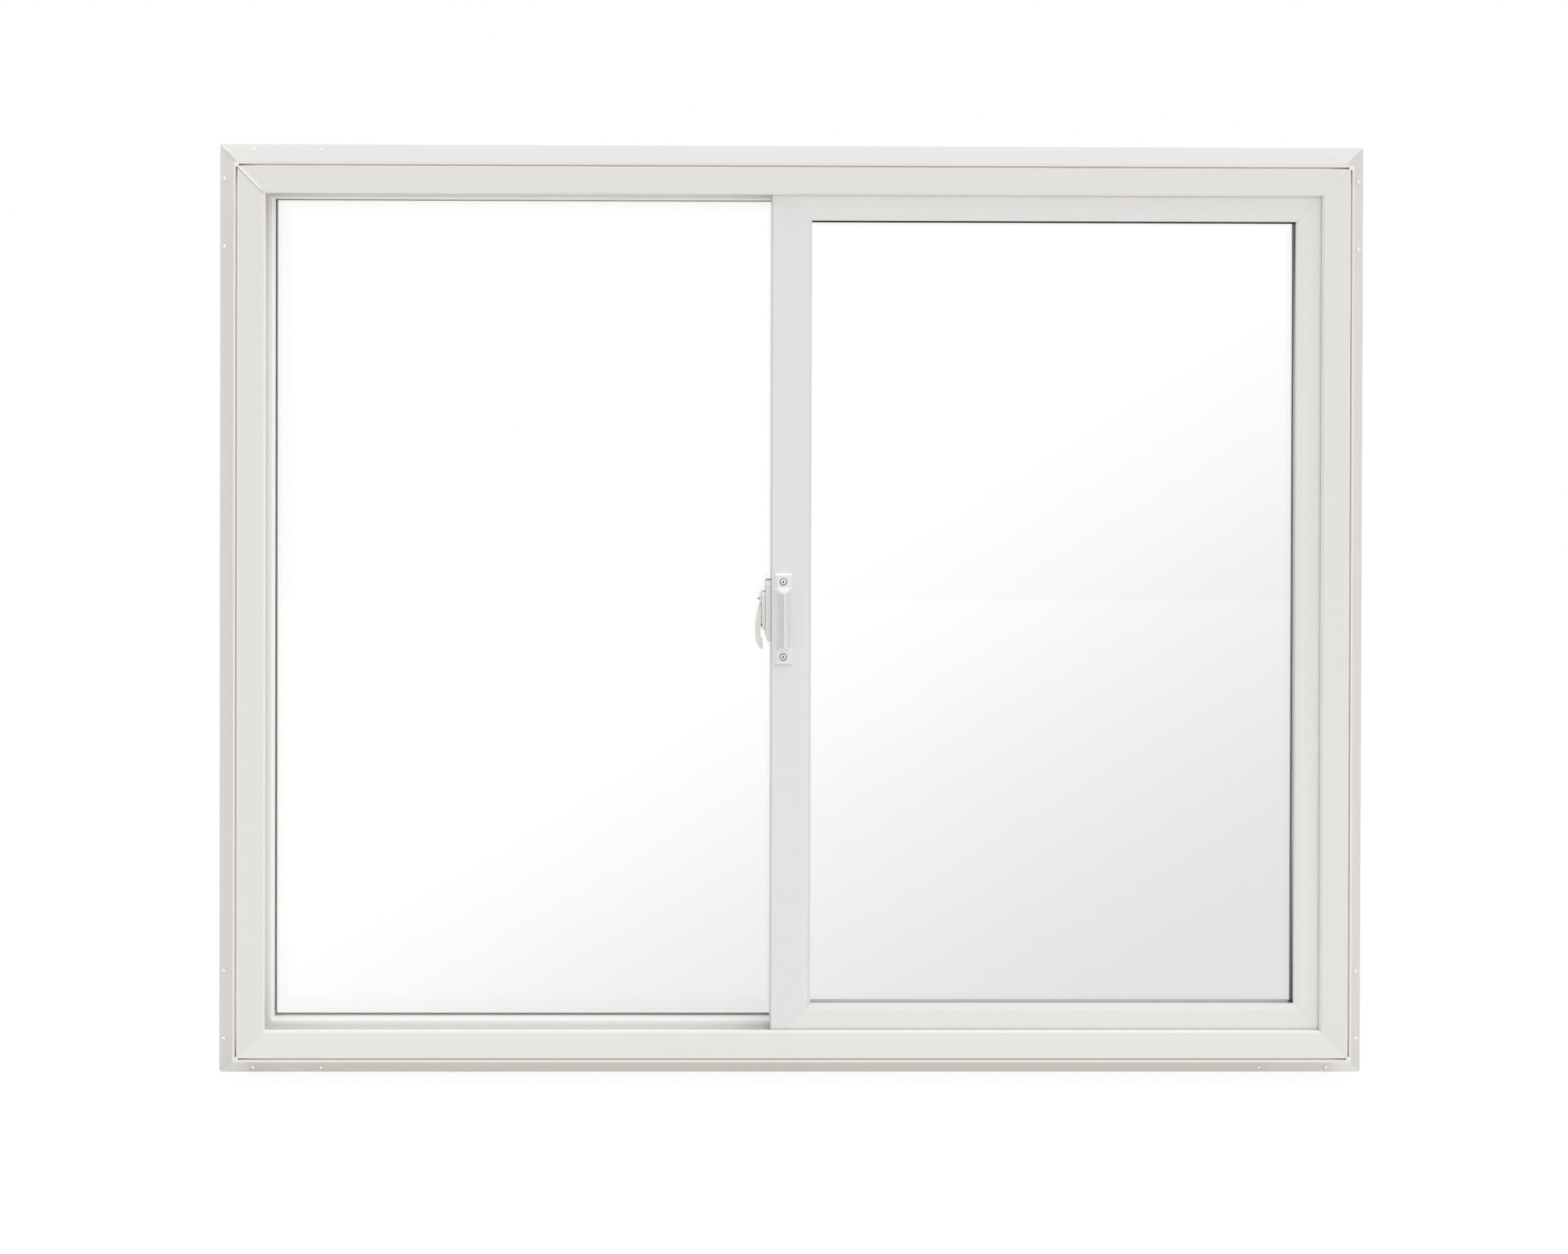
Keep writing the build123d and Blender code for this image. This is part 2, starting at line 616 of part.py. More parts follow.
def pull_handle():
    """A bow handle: two screwed pads with bevelled rims and a ridged grip that bridges them."""
    half = HANDLE_LENGTH / 2
    inner = half - PAD_LENGTH
    pad_long = PAD_LENGTH + PAD_CHAMFER
    pad = Pos(0, -PAD_THICK / 2, 0) * Box(HANDLE_WIDTH, PAD_THICK, pad_long)
    pad = chamfer(pad.faces().sort_by(Axis.Y)[0].edges(), PAD_CHAMFER)
    pads = [Pos(0, 0, side * (half - pad_long / 2)) * pad for side in (-1, 1)]
    screw_places = [Pos(0, 0, side * SCREW_SPACING / 2) for side in (-1, 1)]
    drill = Rot(90, 0, 0) * Cylinder(SCREW_SHANK_RADIUS, 2 * (PAD_THICK + CUT_PAST))
    handle = handle_grip(inner) + pads - [place * drill for place in screw_places]
    on_stile = Pos(HANDLE_OFFSET - STILE_LAP, SASH_FRONT_Y, -HANDLE_DROP)
    screw = Pos(0, -PAD_THICK, 0) * handle_screw()
    screws = Compound([on_stile * place * screw for place in screw_places])
    return {"pull_handle": on_stile * handle, "handle_screws": screws}


def lock_block(back_x, thick, width, length, foot):
    """A moulded block that stands out to the left, bevelled at its top and curved in at its foot."""
    low, high = LOCK_RISE - length / 2, LOCK_RISE + length / 2
    front_x = back_x - thick
    edges = [
        Line((back_x, low), (back_x, high)),
        Line((back_x, high), (front_x + LOCK_BEVEL, high)),
        Line((front_x + LOCK_BEVEL, high), (front_x, high - LOCK_BEVEL)),
        Line((front_x, high - LOCK_BEVEL), (front_x, low + foot)),
        TangentArc((front_x, low + foot), (front_x + LOCK_FOOT_IN, low), tangent=(0, -1)),
        Line((front_x + LOCK_FOOT_IN, low), (back_x, low)),
    ]
    return Pos(0, SASH_MIDDLE_Y, 0) * extrude(Plane.XZ * make_face(edges), amount=width / 2, both=True)


def lock_lever(hub_back_x):
    """A round hub on the pivot and a bowed arm that hangs from it, with its tip turned back to the stile."""
    front_x = hub_back_x - LEVER_HUB_THICK
    tip_x = front_x + LEVER_TIP_IN
    inner_x = hub_back_x - LEVER_SLACK
    notch_z = LEVER_TIP_LONG - LEVER_LENGTH
    bow = (front_x - LEVER_BOW, -LEVER_BOW_AT)
    tip = (tip_x, -LEVER_LENGTH)
    edges = [
        Spline((front_x, -LEVER_ROOT), bow, tip, tangents=(LEVER_CURVE_START, LEVER_CURVE_END)),
        Line(tip, (tip_x - LEVER_TIP_TAPER, notch_z)),
        Line((tip_x - LEVER_TIP_TAPER, notch_z), (inner_x, notch_z)),
        Line((inner_x, notch_z), (inner_x, -LEVER_HUB_RADIUS)),
        Line((inner_x, -LEVER_HUB_RADIUS), (hub_back_x, -LEVER_ROOT)),
        Line((hub_back_x, -LEVER_ROOT), (front_x, -LEVER_ROOT)),
    ]
    arm = extrude(Plane.XZ * make_face(edges), amount=LEVER_WIDTH / 2, both=True)
    hub = Rot(0, 90, 0) * Cylinder(LEVER_HUB_RADIUS, LEVER_HUB_THICK)
    hub = Pos((front_x + hub_back_x) / 2, 0, 0) * hub
    hole = Rot(0, 90, 0) * Cylinder(PIVOT_RADIUS + PIVOT_CLEARANCE, 2 * (LEVER_HUB_THICK + CUT_PAST))
    return Pos(0, SASH_MIDDLE_Y, PIVOT_RISE) * (arm + hub - Pos(front_x, 0, 0) * hole)


def sweep_lock():
    """The lock on the stile: base, body, lever on its pivot pin, cam and the keeper on the fixed rail."""
    stile_x = -STILE_LAP
    base_x = stile_x - LOCK_BASE_THICK
    body_x = base_x - LOCK_BODY_THICK
    base = lock_block(stile_x, LOCK_BASE_THICK, LOCK_BASE_WIDTH, LOCK_BASE_LENGTH, LOCK_BASE_FOOT)
    body = lock_block(base_x, LOCK_BODY_THICK, LOCK_BODY_WIDTH, LOCK_BODY_LENGTH, LOCK_BODY_FOOT)
    pin_inner_x = body_x + LOCK_BODY_THICK / 2
    pin_outer_x = body_x - LEVER_GAP - LEVER_HUB_THICK - PIVOT_STAND
    pin = Rot(0, 90, 0) * Cylinder(PIVOT_RADIUS, pin_inner_x - pin_outer_x)
    pin = Pos((pin_inner_x + pin_outer_x) / 2, SASH_MIDDLE_Y, PIVOT_RISE) * pin
    cam_x = (stile_x - CAM_THICK - HOOK_THICK, stile_x - HOOK_THICK)
    cam_y = SASH_MIDDLE_Y + LOCK_BASE_WIDTH / 2
    cam = block(cam_x, (cam_y, cam_y + CAM_LENGTH), (LOCK_RISE - CAM_WIDTH / 2, LOCK_RISE + CAM_WIDTH / 2))
    return {
        "lock_base": base,
        "lock_body": body - pin,
        "lock_lever": lock_lever(body_x - LEVER_GAP),
        "lock_pivot_pin": pin,
        "lock_cam": cam,
        "lock_keeper": lock_keeper(),
    }


def lock_keeper():
    """The plate on the left side of the fixed meeting rail that the cam catches."""
    return block(
        (FIXED_RAIL_LEFT - KEEPER_THICK, FIXED_RAIL_LEFT),
        (FIXED_RAIL_FRONT, FIXED_RAIL_FRONT + KEEPER_WIDTH),
        (LOCK_RISE - KEEPER_LENGTH / 2, LOCK_RISE + KEEPER_LENGTH / 2),
    )


def main():
    os.makedirs("parts", exist_ok=True)
    parts = frame_bars()
    for group in (fixed_light, sash, rollers, seals, lift_blocks, weep_covers, pull_handle, sweep_lock):
        parts.update(group())
    for name, shape in parts.items():
        export_step(TO_DATUM * shape, f"parts/{name}.step")


main()
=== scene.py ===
# %% [markdown]
# # A white PVC sliding window in a plain white studio
# The solids of the window come from the CAD frame, at true size and in metres.
# This lesson gives them their finishes and adds the small pieces that only show up close.
# The size of the CAD model is kept.

# %% Load the frame
import math
import random
import bmesh
import bpy
from mathutils import Matrix, Vector


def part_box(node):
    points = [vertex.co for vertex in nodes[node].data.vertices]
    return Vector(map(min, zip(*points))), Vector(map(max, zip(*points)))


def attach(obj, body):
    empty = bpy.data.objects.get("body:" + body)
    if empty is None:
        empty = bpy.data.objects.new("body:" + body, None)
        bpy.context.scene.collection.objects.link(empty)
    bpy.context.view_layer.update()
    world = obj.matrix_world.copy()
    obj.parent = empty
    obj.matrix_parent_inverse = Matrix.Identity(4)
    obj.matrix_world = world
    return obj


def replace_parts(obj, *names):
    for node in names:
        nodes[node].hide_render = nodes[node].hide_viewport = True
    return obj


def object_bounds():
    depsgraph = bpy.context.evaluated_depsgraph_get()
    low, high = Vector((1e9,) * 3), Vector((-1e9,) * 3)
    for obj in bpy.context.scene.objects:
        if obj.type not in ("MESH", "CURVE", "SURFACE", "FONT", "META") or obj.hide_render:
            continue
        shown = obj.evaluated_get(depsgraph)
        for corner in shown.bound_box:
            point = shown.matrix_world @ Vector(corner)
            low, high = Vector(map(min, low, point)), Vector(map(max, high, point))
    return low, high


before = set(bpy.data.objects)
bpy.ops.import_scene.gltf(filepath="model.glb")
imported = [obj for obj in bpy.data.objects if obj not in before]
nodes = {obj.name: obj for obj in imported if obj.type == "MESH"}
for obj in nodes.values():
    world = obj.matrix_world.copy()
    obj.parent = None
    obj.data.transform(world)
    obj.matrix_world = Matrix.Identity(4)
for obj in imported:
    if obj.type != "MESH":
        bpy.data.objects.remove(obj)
cad_box = [list(corner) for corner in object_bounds()]
bpy.ops.object.select_all(action="DESELECT")
print(len(nodes), "solids, from", [round(v, 4) for v in cad_box[0]], "to", [round(v, 4) for v in cad_box[1]])

# %% [markdown]
# Many places on the window are easiest to give from its middle or from its outer edges.
# They are measured here from the solids, so the marks and small pieces land in the right places.
# Only the width of the nail fin is written down, because no box round a solid ends where the fin starts.

# %% Measure the places that the rest uses
stile_low, stile_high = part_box("sash_meeting_stile")
head_low, head_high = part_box("frame_head")
sill_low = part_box("frame_sill")[0]
MIDDLE_Z = (head_high.z + sill_low.z) / 2
FACE_Y = head_low.y
HALF_FIN_HIGH = (head_high.z - sill_low.z) / 2
FIN_WIDTH = 0.033
HALF_HIGH = HALF_FIN_HIGH - FIN_WIDTH
HALF_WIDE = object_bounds()[1][0] - FIN_WIDTH
print("half sizes of the frame", round(HALF_WIDE, 4), round(HALF_HIGH, 4), "middle height", round(MIDDLE_Z, 4))

# %% [markdown]
# The photograph was taken square to the window, a little left of its middle and above it.
# A real camera does that by shifting its lens, and Blender has the same shift.
# The three small turns are what is left of the tripod's tilt.

# %% Camera
camera_data = bpy.data.cameras.new("camera")
camera_data.sensor_width = 36.0
camera_data.lens = 35.761
camera_data.shift_x = 0.04830
camera_data.shift_y = -0.10674
camera = bpy.data.objects.new("camera", camera_data)
bpy.context.scene.collection.objects.link(camera)
yaw, pitch, roll = (math.radians(v) for v in (-0.3552, -0.2158, -0.1365))
aim = Matrix.Rotation(yaw, 4, "Z") @ Matrix.Rotation(pitch + math.pi / 2, 4, "X") @ Matrix.Rotation(-roll, 4, "Z")
eye = Vector((-0.12932, -2.14917, MIDDLE_Z + 0.21465))
camera.matrix_world = Matrix.Translation(eye) @ aim
bpy.context.scene.camera = camera
print("camera", round(-camera.location.y + FACE_Y, 3), "m in front of the window")

# %% [markdown]
# Shader maths reads best as plain arithmetic.
# This small class wraps one output of a material's nodes.
# A sum or a product of two such outputs adds the Math node that works it out.
# Every other node comes from its one method, which takes the node's type, its settings and its inputs.


# %% A field that varies over a surface
class Field:
    """One output of a material's nodes, which can be used in arithmetic."""

    def __init__(self, tree, socket):
        self.tree, self.socket = tree, socket

    def node(self, kind, settings=None, inputs=None, output=0):
        """Adds a node with these settings and inputs, and gives one of its outputs."""
        made = self.tree.nodes.new(kind)
        for name, value in (settings or {}).items():
            if name == "stops":
                elements = made.color_ramp.elements
                while len(elements) < len(value):
                    elements.new(1.0)
                for element, (place, shade) in zip(elements, value):
                    element.position = place
                    element.color = (shade, shade, shade, 1.0)
            else:
                setattr(made, name, value)
        for name, value in (inputs or {}).items():
            if isinstance(value, Field):
                self.tree.links.new(value.socket, made.inputs[name])
            else:
                made.inputs[name].default_value = value
        return Field(self.tree, made.outputs[output])

    def math(self, operation, a, b=0.0, c=0.0, clamp=False):
        return self.node("ShaderNodeMath", {"operation": operation, "use_clamp": clamp}, {0: a, 1: b, 2: c})

    def __add__(self, other):
        return self.math("ADD", self, other)

    __radd__ = __add__

    def __sub__(self, other):
        return self.math("SUBTRACT", self, other)

    def __rsub__(self, other):
        return self.math("SUBTRACT", other, self)

    def __mul__(self, other):
        return self.math("MULTIPLY", self, other)

    def __truediv__(self, other):
        return self.math("DIVIDE", self, other)

    def __abs__(self):
        return self.math("ABSOLUTE", self)

    def at_most(self, other):
        return self.math("MINIMUM", self, other)

    def at_least(self, other):
        return self.math("MAXIMUM", self, other)

    def below(self, limit, soft):
        """1 where the field is under the limit, falling to 0 over the soft distance above it."""
        return self.math("MULTIPLY", limit + soft - self, 1.0 / soft, clamp=True)


# %% [markdown]
# A material starts as one Principled shader and the coordinates of the object, in metres.
# Those coordinates are the same for every solid of the window, so a pattern runs on from one solid to the next.
# A light path tells what kind of ray meets a surface, so the sky, the floor and the glass can treat some rays apart.


# %% Start a finish and blend colours
def finish(name, **constants):
    """A new material, its Principled shader, its position field and the three coordinates."""
    material = bpy.data.materials.new(name)
    material.use_nodes = True
    tree = material.node_tree
    shader = tree.nodes["Principled BSDF"]
    for socket, value in constants.items():
        shader.inputs[socket.replace("_", " ")].default_value = value
    where = Field(tree, tree.nodes.new("ShaderNodeTexCoord").outputs["Object"])
    where = where.node("ShaderNodeMapping", {}, {"Vector": where})
    axes = where.node("ShaderNodeSeparateXYZ", {}, {0: where}).socket.node
    return material, shader, where, [Field(tree, out) for out in axes.outputs]


def noise(where, scale, detail=2.0, rough=0.5, stretch=None):
    """Noise from 0 to 1, with this many features to the metre."""
    if stretch:
        where = where.node("ShaderNodeMapping", {}, {"Vector": where, "Scale": stretch})
    inputs = {"Vector": where, "Scale": scale, "Detail": detail, "Roughness": rough}
    return where.node("ShaderNodeTexNoise", {}, inputs)


def mix(field, share, low, high):
    """The colour low where share is 0 and high where it is 1."""
    low, high = (c if isinstance(c, Field) else (*c, 1.0) for c in (low, high))
    settings = {"data_type": "RGBA", "clamp_factor": True}
    return field.node("ShaderNodeMix", settings, {0: share, 6: low, 7: high}, output=2)


def plug(shader, socket, field):
    """Feeds a shader's socket from a field."""
    field.tree.links.new(field.socket, shader.inputs[socket])


def bump(shader, height, strength, distance):
    """Raises the surface by a height field, for its shading only."""
    inputs = {"Height": height, "Strength": strength, "Distance": distance}
    plug(shader, "Normal", height.node("ShaderNodeBump", {}, inputs))


def any_ray(tree, *kinds):
    """1 for the rays of these kinds and 0 for all others."""
    path = tree.nodes.new("ShaderNodeLightPath")
    found = Field(tree, path.outputs[f"Is {kinds[0]} Ray"])
    for kind in kinds[1:]:
        found = found.at_least(Field(tree, path.outputs[f"Is {kind} Ray"]))
    return found


def surface(share, first, second, output):
    """Mixes two shaders by a share and sends them to the material's or the world's output."""
    both = share.node("ShaderNodeMixShader", {}, {0: share, 1: first, 2: second})
    both.tree.links.new(both.socket, both.tree.nodes[output].inputs["Surface"])


# %% [markdown]
# The photograph has hardly a shadow: even the walls of the recesses are almost as bright as the faces.
# Such light comes from all round, so the studio has a pale floor, a white sky and eight sun lamps.
# Each lamp is as wide as a big softbox.
# One hangs high above, and one stands low and almost square to the right, which lifts the walls of the recesses.
# Three light the outdoor side.
# A sun lamp is as bright at one end of the window as at the other, which a lamp that stands near isn't.
# Seen by the camera, in a reflection or through glass, the sky is plain white.
# As a light it is weaker, so that white PVC doesn't burn out.

# %% Sky
world = bpy.data.worlds.new("studio")
bpy.context.scene.world = world
world.use_nodes = True
sky = world.node_tree
sky_white, sky_light = sky.nodes["Background"], sky.nodes.new("ShaderNodeBackground")
sky_white.inputs["Color"].default_value = (1.0, 1.0, 1.0, 1.0)
sky_light.inputs["Color"].default_value = (1.0, 0.998, 0.994, 1.0)
SKY_LEVEL = 0.33
sky_light.inputs["Strength"].default_value = SKY_LEVEL
SEEN = ("Camera", "Glossy", "Transmission")
surface(any_ray(sky, *SEEN), Field(sky, sky_light.outputs[0]), Field(sky, sky_white.outputs[0]), "World Output")
print("sky lights at", SKY_LEVEL)


# %% [markdown]
# Each lamp has its turn from straight ahead, its height in degrees and its strength.
# Only lamps that stand high or well to the side show in reflections, so the glass stays free of hot spots.

# %% Lamps
LAMPS = {
    "top": (0, 80, 1.12),
    "front": (0, 12, 0.50),
    "left": (-70, 8, 0.30),
    "right": (60, 35, 0.45),
    "right_low": (84, 6, 0.50),
    "rear_high": (180, 60, 0.45),
    "rear_right": (130, 15, 0.45),
    "rear_left": (-130, 15, 0.38),
}
LAMP_WIDE = math.radians(50)
for name, (turn, height, strength) in LAMPS.items():
    lamp_data = bpy.data.lights.new(name, "SUN")
    lamp_data.energy, lamp_data.angle = strength, LAMP_WIDE
    lamp = bpy.data.objects.new(name, lamp_data)
    lamp.visible_transmission = False
    lamp.visible_glossy = height > 30 or abs(turn) > 60
    bpy.context.scene.collection.objects.link(lamp)
    turn, height = math.radians(turn), math.radians(height)
    level = math.cos(height)
    toward = Vector((math.sin(turn) * level, -math.cos(turn) * level, math.sin(height)))
    lamp.rotation_euler = (-toward).to_track_quat("-Z", "Y").to_euler()
print(len(LAMPS), "wide lamps, together", round(sum(strength for *_, strength in LAMPS.values()), 2))

# %% [markdown]
# The floor is a warm white that throws light up at the window, but the camera sees it as white as the sky.
# A tenth of what the camera sees is still the real floor, so the window stands on a faint shadow.

# %% Floor
FLOOR_WARM = (0.93, 0.90, 0.86, 1.0)
FLOOR_GLOW = 1.03
GLOW_SHARE = 0.9
FLOOR_SIZE = 14.0
floor_material, floor_shader, where, _ = finish("floor_white", Base_Color=FLOOR_WARM, Roughness=0.9)
white = where.node("ShaderNodeEmission", {}, {"Color": (1.0, 1.0, 1.0, 1.0), "Strength": FLOOR_GLOW})
seen = any_ray(where.tree, *SEEN) * GLOW_SHARE
surface(seen, Field(where.tree, floor_shader.outputs[0]), white, "Material Output")
bpy.ops.mesh.primitive_plane_add(size=FLOOR_SIZE, location=(0.0, 0.0, cad_box[0][2]))
floor = bpy.context.object
floor.name = "studio_floor"
bpy.ops.object.transform_apply(location=True, rotation=True, scale=True)
floor.data.materials.append(floor_material)
print("floor at", round(cad_box[0][2], 4))

# %% [markdown]
# White PVC looks plain, but no bar of it is one flat colour.
# Painted light makes the window a shade paler towards its foot, where more light falls.
# Each bar drifts between a warm, a cool and a faintly violet white, with a little of a duller one.
# It has faint lines from the die it was drawn through.
# A thin seam shows where it is welded to the next bar at 45 degrees.
# The seam lies where the distance to the two outer edges is the same, so a little arithmetic on the position finds it.
# It shows a little more at the right-hand corners.

# %% PVC of the sash and the frame
WARM_WHITE = (0.846, 0.842, 0.832)
COOL_WHITE = (0.837, 0.839, 0.843)
VIOLET_WHITE = (0.846, 0.834, 0.846)
DULL_WHITE = (0.790, 0.784, 0.773)
SEAM_AND_SHADOW_GREY = (0.60, 0.59, 0.57)
FOOT_PAINTED_LIGHT = (0.886, 0.884, 0.878)
SEAM_HALF, SEAM_SOFT = 0.0004, 0.0006
LINE_STRETCH = 0.02


def ramp(field, slope, start):
    """The field times a slope, plus a start, kept between 0 and 1."""
    return field.math("MULTIPLY_ADD", field, slope, start, clamp=True)


def pvc(name, along, centre_x, half_wide, half_high, marks):
    """White extruded PVC drawn along one axis, with painted light towards its foot and the weld seams of a ring of
    this size.
    """
    material, shader, where, (x, y, z) = finish(name, Roughness=0.36)
    in_x, in_z = half_wide - abs(x - centre_x), half_high - abs(z - MIDDLE_Z)
    drift = ramp(noise(where, 1.7, 3.0, 0.6), 3.4, -1.2)
    colour = mix(where, drift, WARM_WHITE, COOL_WHITE)
    violet = ramp(noise(where, 9.0, 2.0, 0.6), 4.0, -2.0)
    colour = mix(where, violet, colour, VIOLET_WHITE)
    lines = noise(where, 420.0, 2.0, 0.6, tuple(LINE_STRETCH if axis == along else 1.0 for axis in "xyz"))
    mottle = noise(where, 23.0, 4.0, 0.6)
    colour = mix(where, ramp(mottle, 0.55, -0.24), colour, DULL_WHITE)
    # Painted light: a shade paler towards the foot.
    lower = ramp(z - MIDDLE_Z, -0.5 / HALF_HIGH, 0.5)
    colour = mix(where, lower, colour, FOOT_PAINTED_LIGHT)
    colour = marks(where, colour, (x, y, z), in_x, in_z)
    seam = abs(in_x - in_z).below(SEAM_HALF, SEAM_SOFT) * ramp(noise(where, 90.0), 1.6, -0.3)
    at_right = where.math("GREATER_THAN", x, centre_x) * 0.2
    colour = mix(where, seam * (at_right + 0.3), colour, SEAM_AND_SHADOW_GREY)
    plug(shader, "Base Color", colour)
    plug(shader, "Roughness", 0.3 + lines * 0.12 + mottle * 0.06)
    grain = noise(where, 900.0, 2.0, 0.5)
    bump(shader, lines * 0.5 + grain * 0.3 - seam * 4.0, 0.25, 0.0001)
    return material


# %% [markdown]
# The frame needs a few marks that the sash doesn't have.
# Its faces are a little dull, least of all the sill's, which is kept paler as painted light, and its recesses get
# painted light, except deep under the head.
# Its narrow groove is tan, with a painted cream highlight on each lip, and darker near the corners; the inner edge of
# the sill gets the same painted highlight.
# Its fin gets painted light and shade: grey at the sides, paler at the top and a warm white at the bottom that lifts
# the shade under the sill.
# Beside the thick weld at the top left runs a painted shadow line, and two of the fin's corners have a dark tip.
# These places are told by their depth and their reach, which is how far they lie in from the nearer outer face.
# The run is how far they lie in from the farther one, so it is small near a corner only.

# %% Marks on the frame
RECESS_PAINTED_LIGHT = (0.975, 0.971, 0.948)
CREAM_HIGHLIGHT = (0.970, 0.935, 0.885)
GROOVE_TAN = (0.90, 0.86, 0.80)
GROOVE_CORNER_DARK = (0.10, 0.09, 0.08)
FIN_TOP_PAINTED_LIGHT = (0.915, 0.910, 0.902)
FIN_SIDE_PAINTED_SHADE = (0.750, 0.742, 0.728)
FIN_BOTTOM_PAINTED_LIGHT = (0.990, 0.965, 0.930)
TIP_DARK = (0.35, 0.35, 0.36)
RECESS_REACH, RECESS_DEEP = 0.0068, 0.076
HEAD_REACH, HEAD_TRACK_DEEP = 0.054, 0.040
GROOVE_MIDDLE, GROOVE_DEEP = 0.0043, 0.0060
OUTER_LIP, INNER_LIP = 0.0023, 0.0062
SILL_EDGE = 0.0411
FIN_TIP = -0.0314


def band(field, middle, half, soft=0.0004):
    """1 where a field is near a value, falling softly to 0."""
    return abs(field - middle).below(half, soft)


def frame_marks(where, colour, place, in_x, in_z):
    """The colour of the frame with its recesses, fin, groove and weld marked, much of it painted light and shade."""
    x, y, z = place
    reach, run = in_x.at_most(in_z), in_x.at_least(in_z)
    over = where.math("GREATER_THAN", z, MIDDLE_Z)
    beside = where.math("LESS_THAN", x, 0.0)
    level_bar = where.math("LESS_THAN", in_z, in_x)
    face = y.below(FACE_Y + 0.0006, 0.0004)
    sill = level_bar * (1.0 - over)
    # The sill's faces are kept paler, as painted light.
    colour = mix(where, 0.6 - sill * 0.45, colour, DULL_WHITE)
    # Painted light lifts the shade in the recesses, but not deep under the head.
    recess = (1.0 - y.below(FACE_Y + 0.0012, 0.002)) * (1.0 - reach.below(RECESS_REACH, 0.0006))
    deep = 1.0 - y.below(FACE_Y + HEAD_TRACK_DEEP, 0.0006)
    under_head = over * level_bar * in_z.below(HEAD_REACH, 0.002) * deep
    recess = recess * y.below(FACE_Y + RECESS_DEEP, 0.010) * (1.0 - under_head)
    colour = mix(where, recess * 0.95, colour, RECESS_PAINTED_LIGHT)
    # Painted shade on the side fins and painted light on the top and bottom fins.
    fin = reach.below(-0.0008, 0.0006)
    colour = mix(where, fin * (1.0 - level_bar) * (1.0 - beside * 0.5), colour, FIN_SIDE_PAINTED_SHADE)
    colour = mix(where, fin * level_bar * over, colour, FIN_TOP_PAINTED_LIGHT)
    colour = mix(where, fin * sill * (1.0 - run.below(0.010, 0.060)), colour, FIN_BOTTOM_PAINTED_LIGHT)
    tips = run.below(FIN_TIP, 0.0004) * (1.0 - abs(over - beside))
    colour = mix(where, tips, colour, TIP_DARK)
    # Painted cream highlights on the two lips of the groove.
    lip_highlights = band(reach, OUTER_LIP, 0.0005).at_least(band(reach, INNER_LIP, 0.0004)) * face
    colour = mix(where, lip_highlights * 0.7, colour, CREAM_HIGHLIGHT)
    # A painted cream highlight along the inner edge of the sill.
    edge = band(in_z, SILL_EDGE, 0.0006) * sill * face
    colour = mix(where, edge, colour, CREAM_HIGHLIGHT)
    groove = band(reach, GROOVE_MIDDLE, 0.0014, 0.0001) * (1.0 - face) * y.below(FACE_Y + GROOVE_DEEP, 0.0005)
    # Darker near the corners of the groove.
    near_corners = run.below(0.007, 0.030) * band(reach, GROOVE_MIDDLE, 0.0007, 0.0005)
    colour = mix(where, groove, colour, mix(where, near_corners, GROOVE_TAN, GROOVE_CORNER_DARK))
    # A painted shadow line beside the thick weld at the top left, in the grey of the seams.
    shade = band(in_z - in_x, 0.0029, 0.0009, 0.0006) * band(reach, 0.0232, 0.0172) * over * beside * face
    return mix(where, shade, colour, SEAM_AND_SHADOW_GREY)


# %% [markdown]
# All four bars of the sash are a little dull, and its meeting stile has marks of its own.
# It is a cooler white than the other bars, up to the joints at its ends, and most of all near its top.
# Its left edge is a painted thin shadow line, and its right edge is painted with shade, as if it rounded away from the
# light, before it reaches the glass.
# The jamb stile at the other side only gets a trace of painted green light from the glass edge where it meets the
# glass, about half way up.

# %% Marks on the sash
EDGE_GREY = (0.66, 0.66, 0.66)
GLASS_EDGE_GREEN_LIGHT = (0.76, 0.84, 0.80)
STILE_WHITE = (0.787, 0.799, 0.812)
ROUNDING_SHADE_GREY = (0.74, 0.74, 0.74)
GREEN_HALF_HIGH, GREEN_SOFT = 0.30, 0.20


def sash_marks(where, colour, place, in_x, in_z):
    """The colour of the sash with painted shade at the edges of its meeting stile and painted green light beside the
    glass.
    """
    x, y, z = place
    colour = mix(where, 0.25, colour, DULL_WHITE)
    stile = x.below(stile_high.x + 0.0004, 0.0004) * where.math("LESS_THAN", in_x, in_z)
    colour = mix(where, stile * ramp(z - MIDDLE_Z, 0.25 / HALF_HIGH, 0.7), colour, STILE_WHITE)
    # Painted green light from the glass edge.
    green = band(x, jamb_stile_low.x - 0.0008, 0.0022, 0.0010) * band(z, MIDDLE_Z, GREEN_HALF_HIGH, GREEN_SOFT)
    colour = mix(where, green * 0.8, colour, GLASS_EDGE_GREEN_LIGHT)
    colour = mix(where, x.below(stile_low.x + 0.0009, 0.0006), colour, EDGE_GREY)
    # Painted shade where the meeting stile's right edge would round away from the light.
    rounding_shade = band(x, stile_high.x - 0.0024, 0.0010, 0.0014) * y.below(stile_low.y + 0.006, 0.001)
    return mix(where, rounding_shade * stile, colour, ROUNDING_SHADE_GREY)


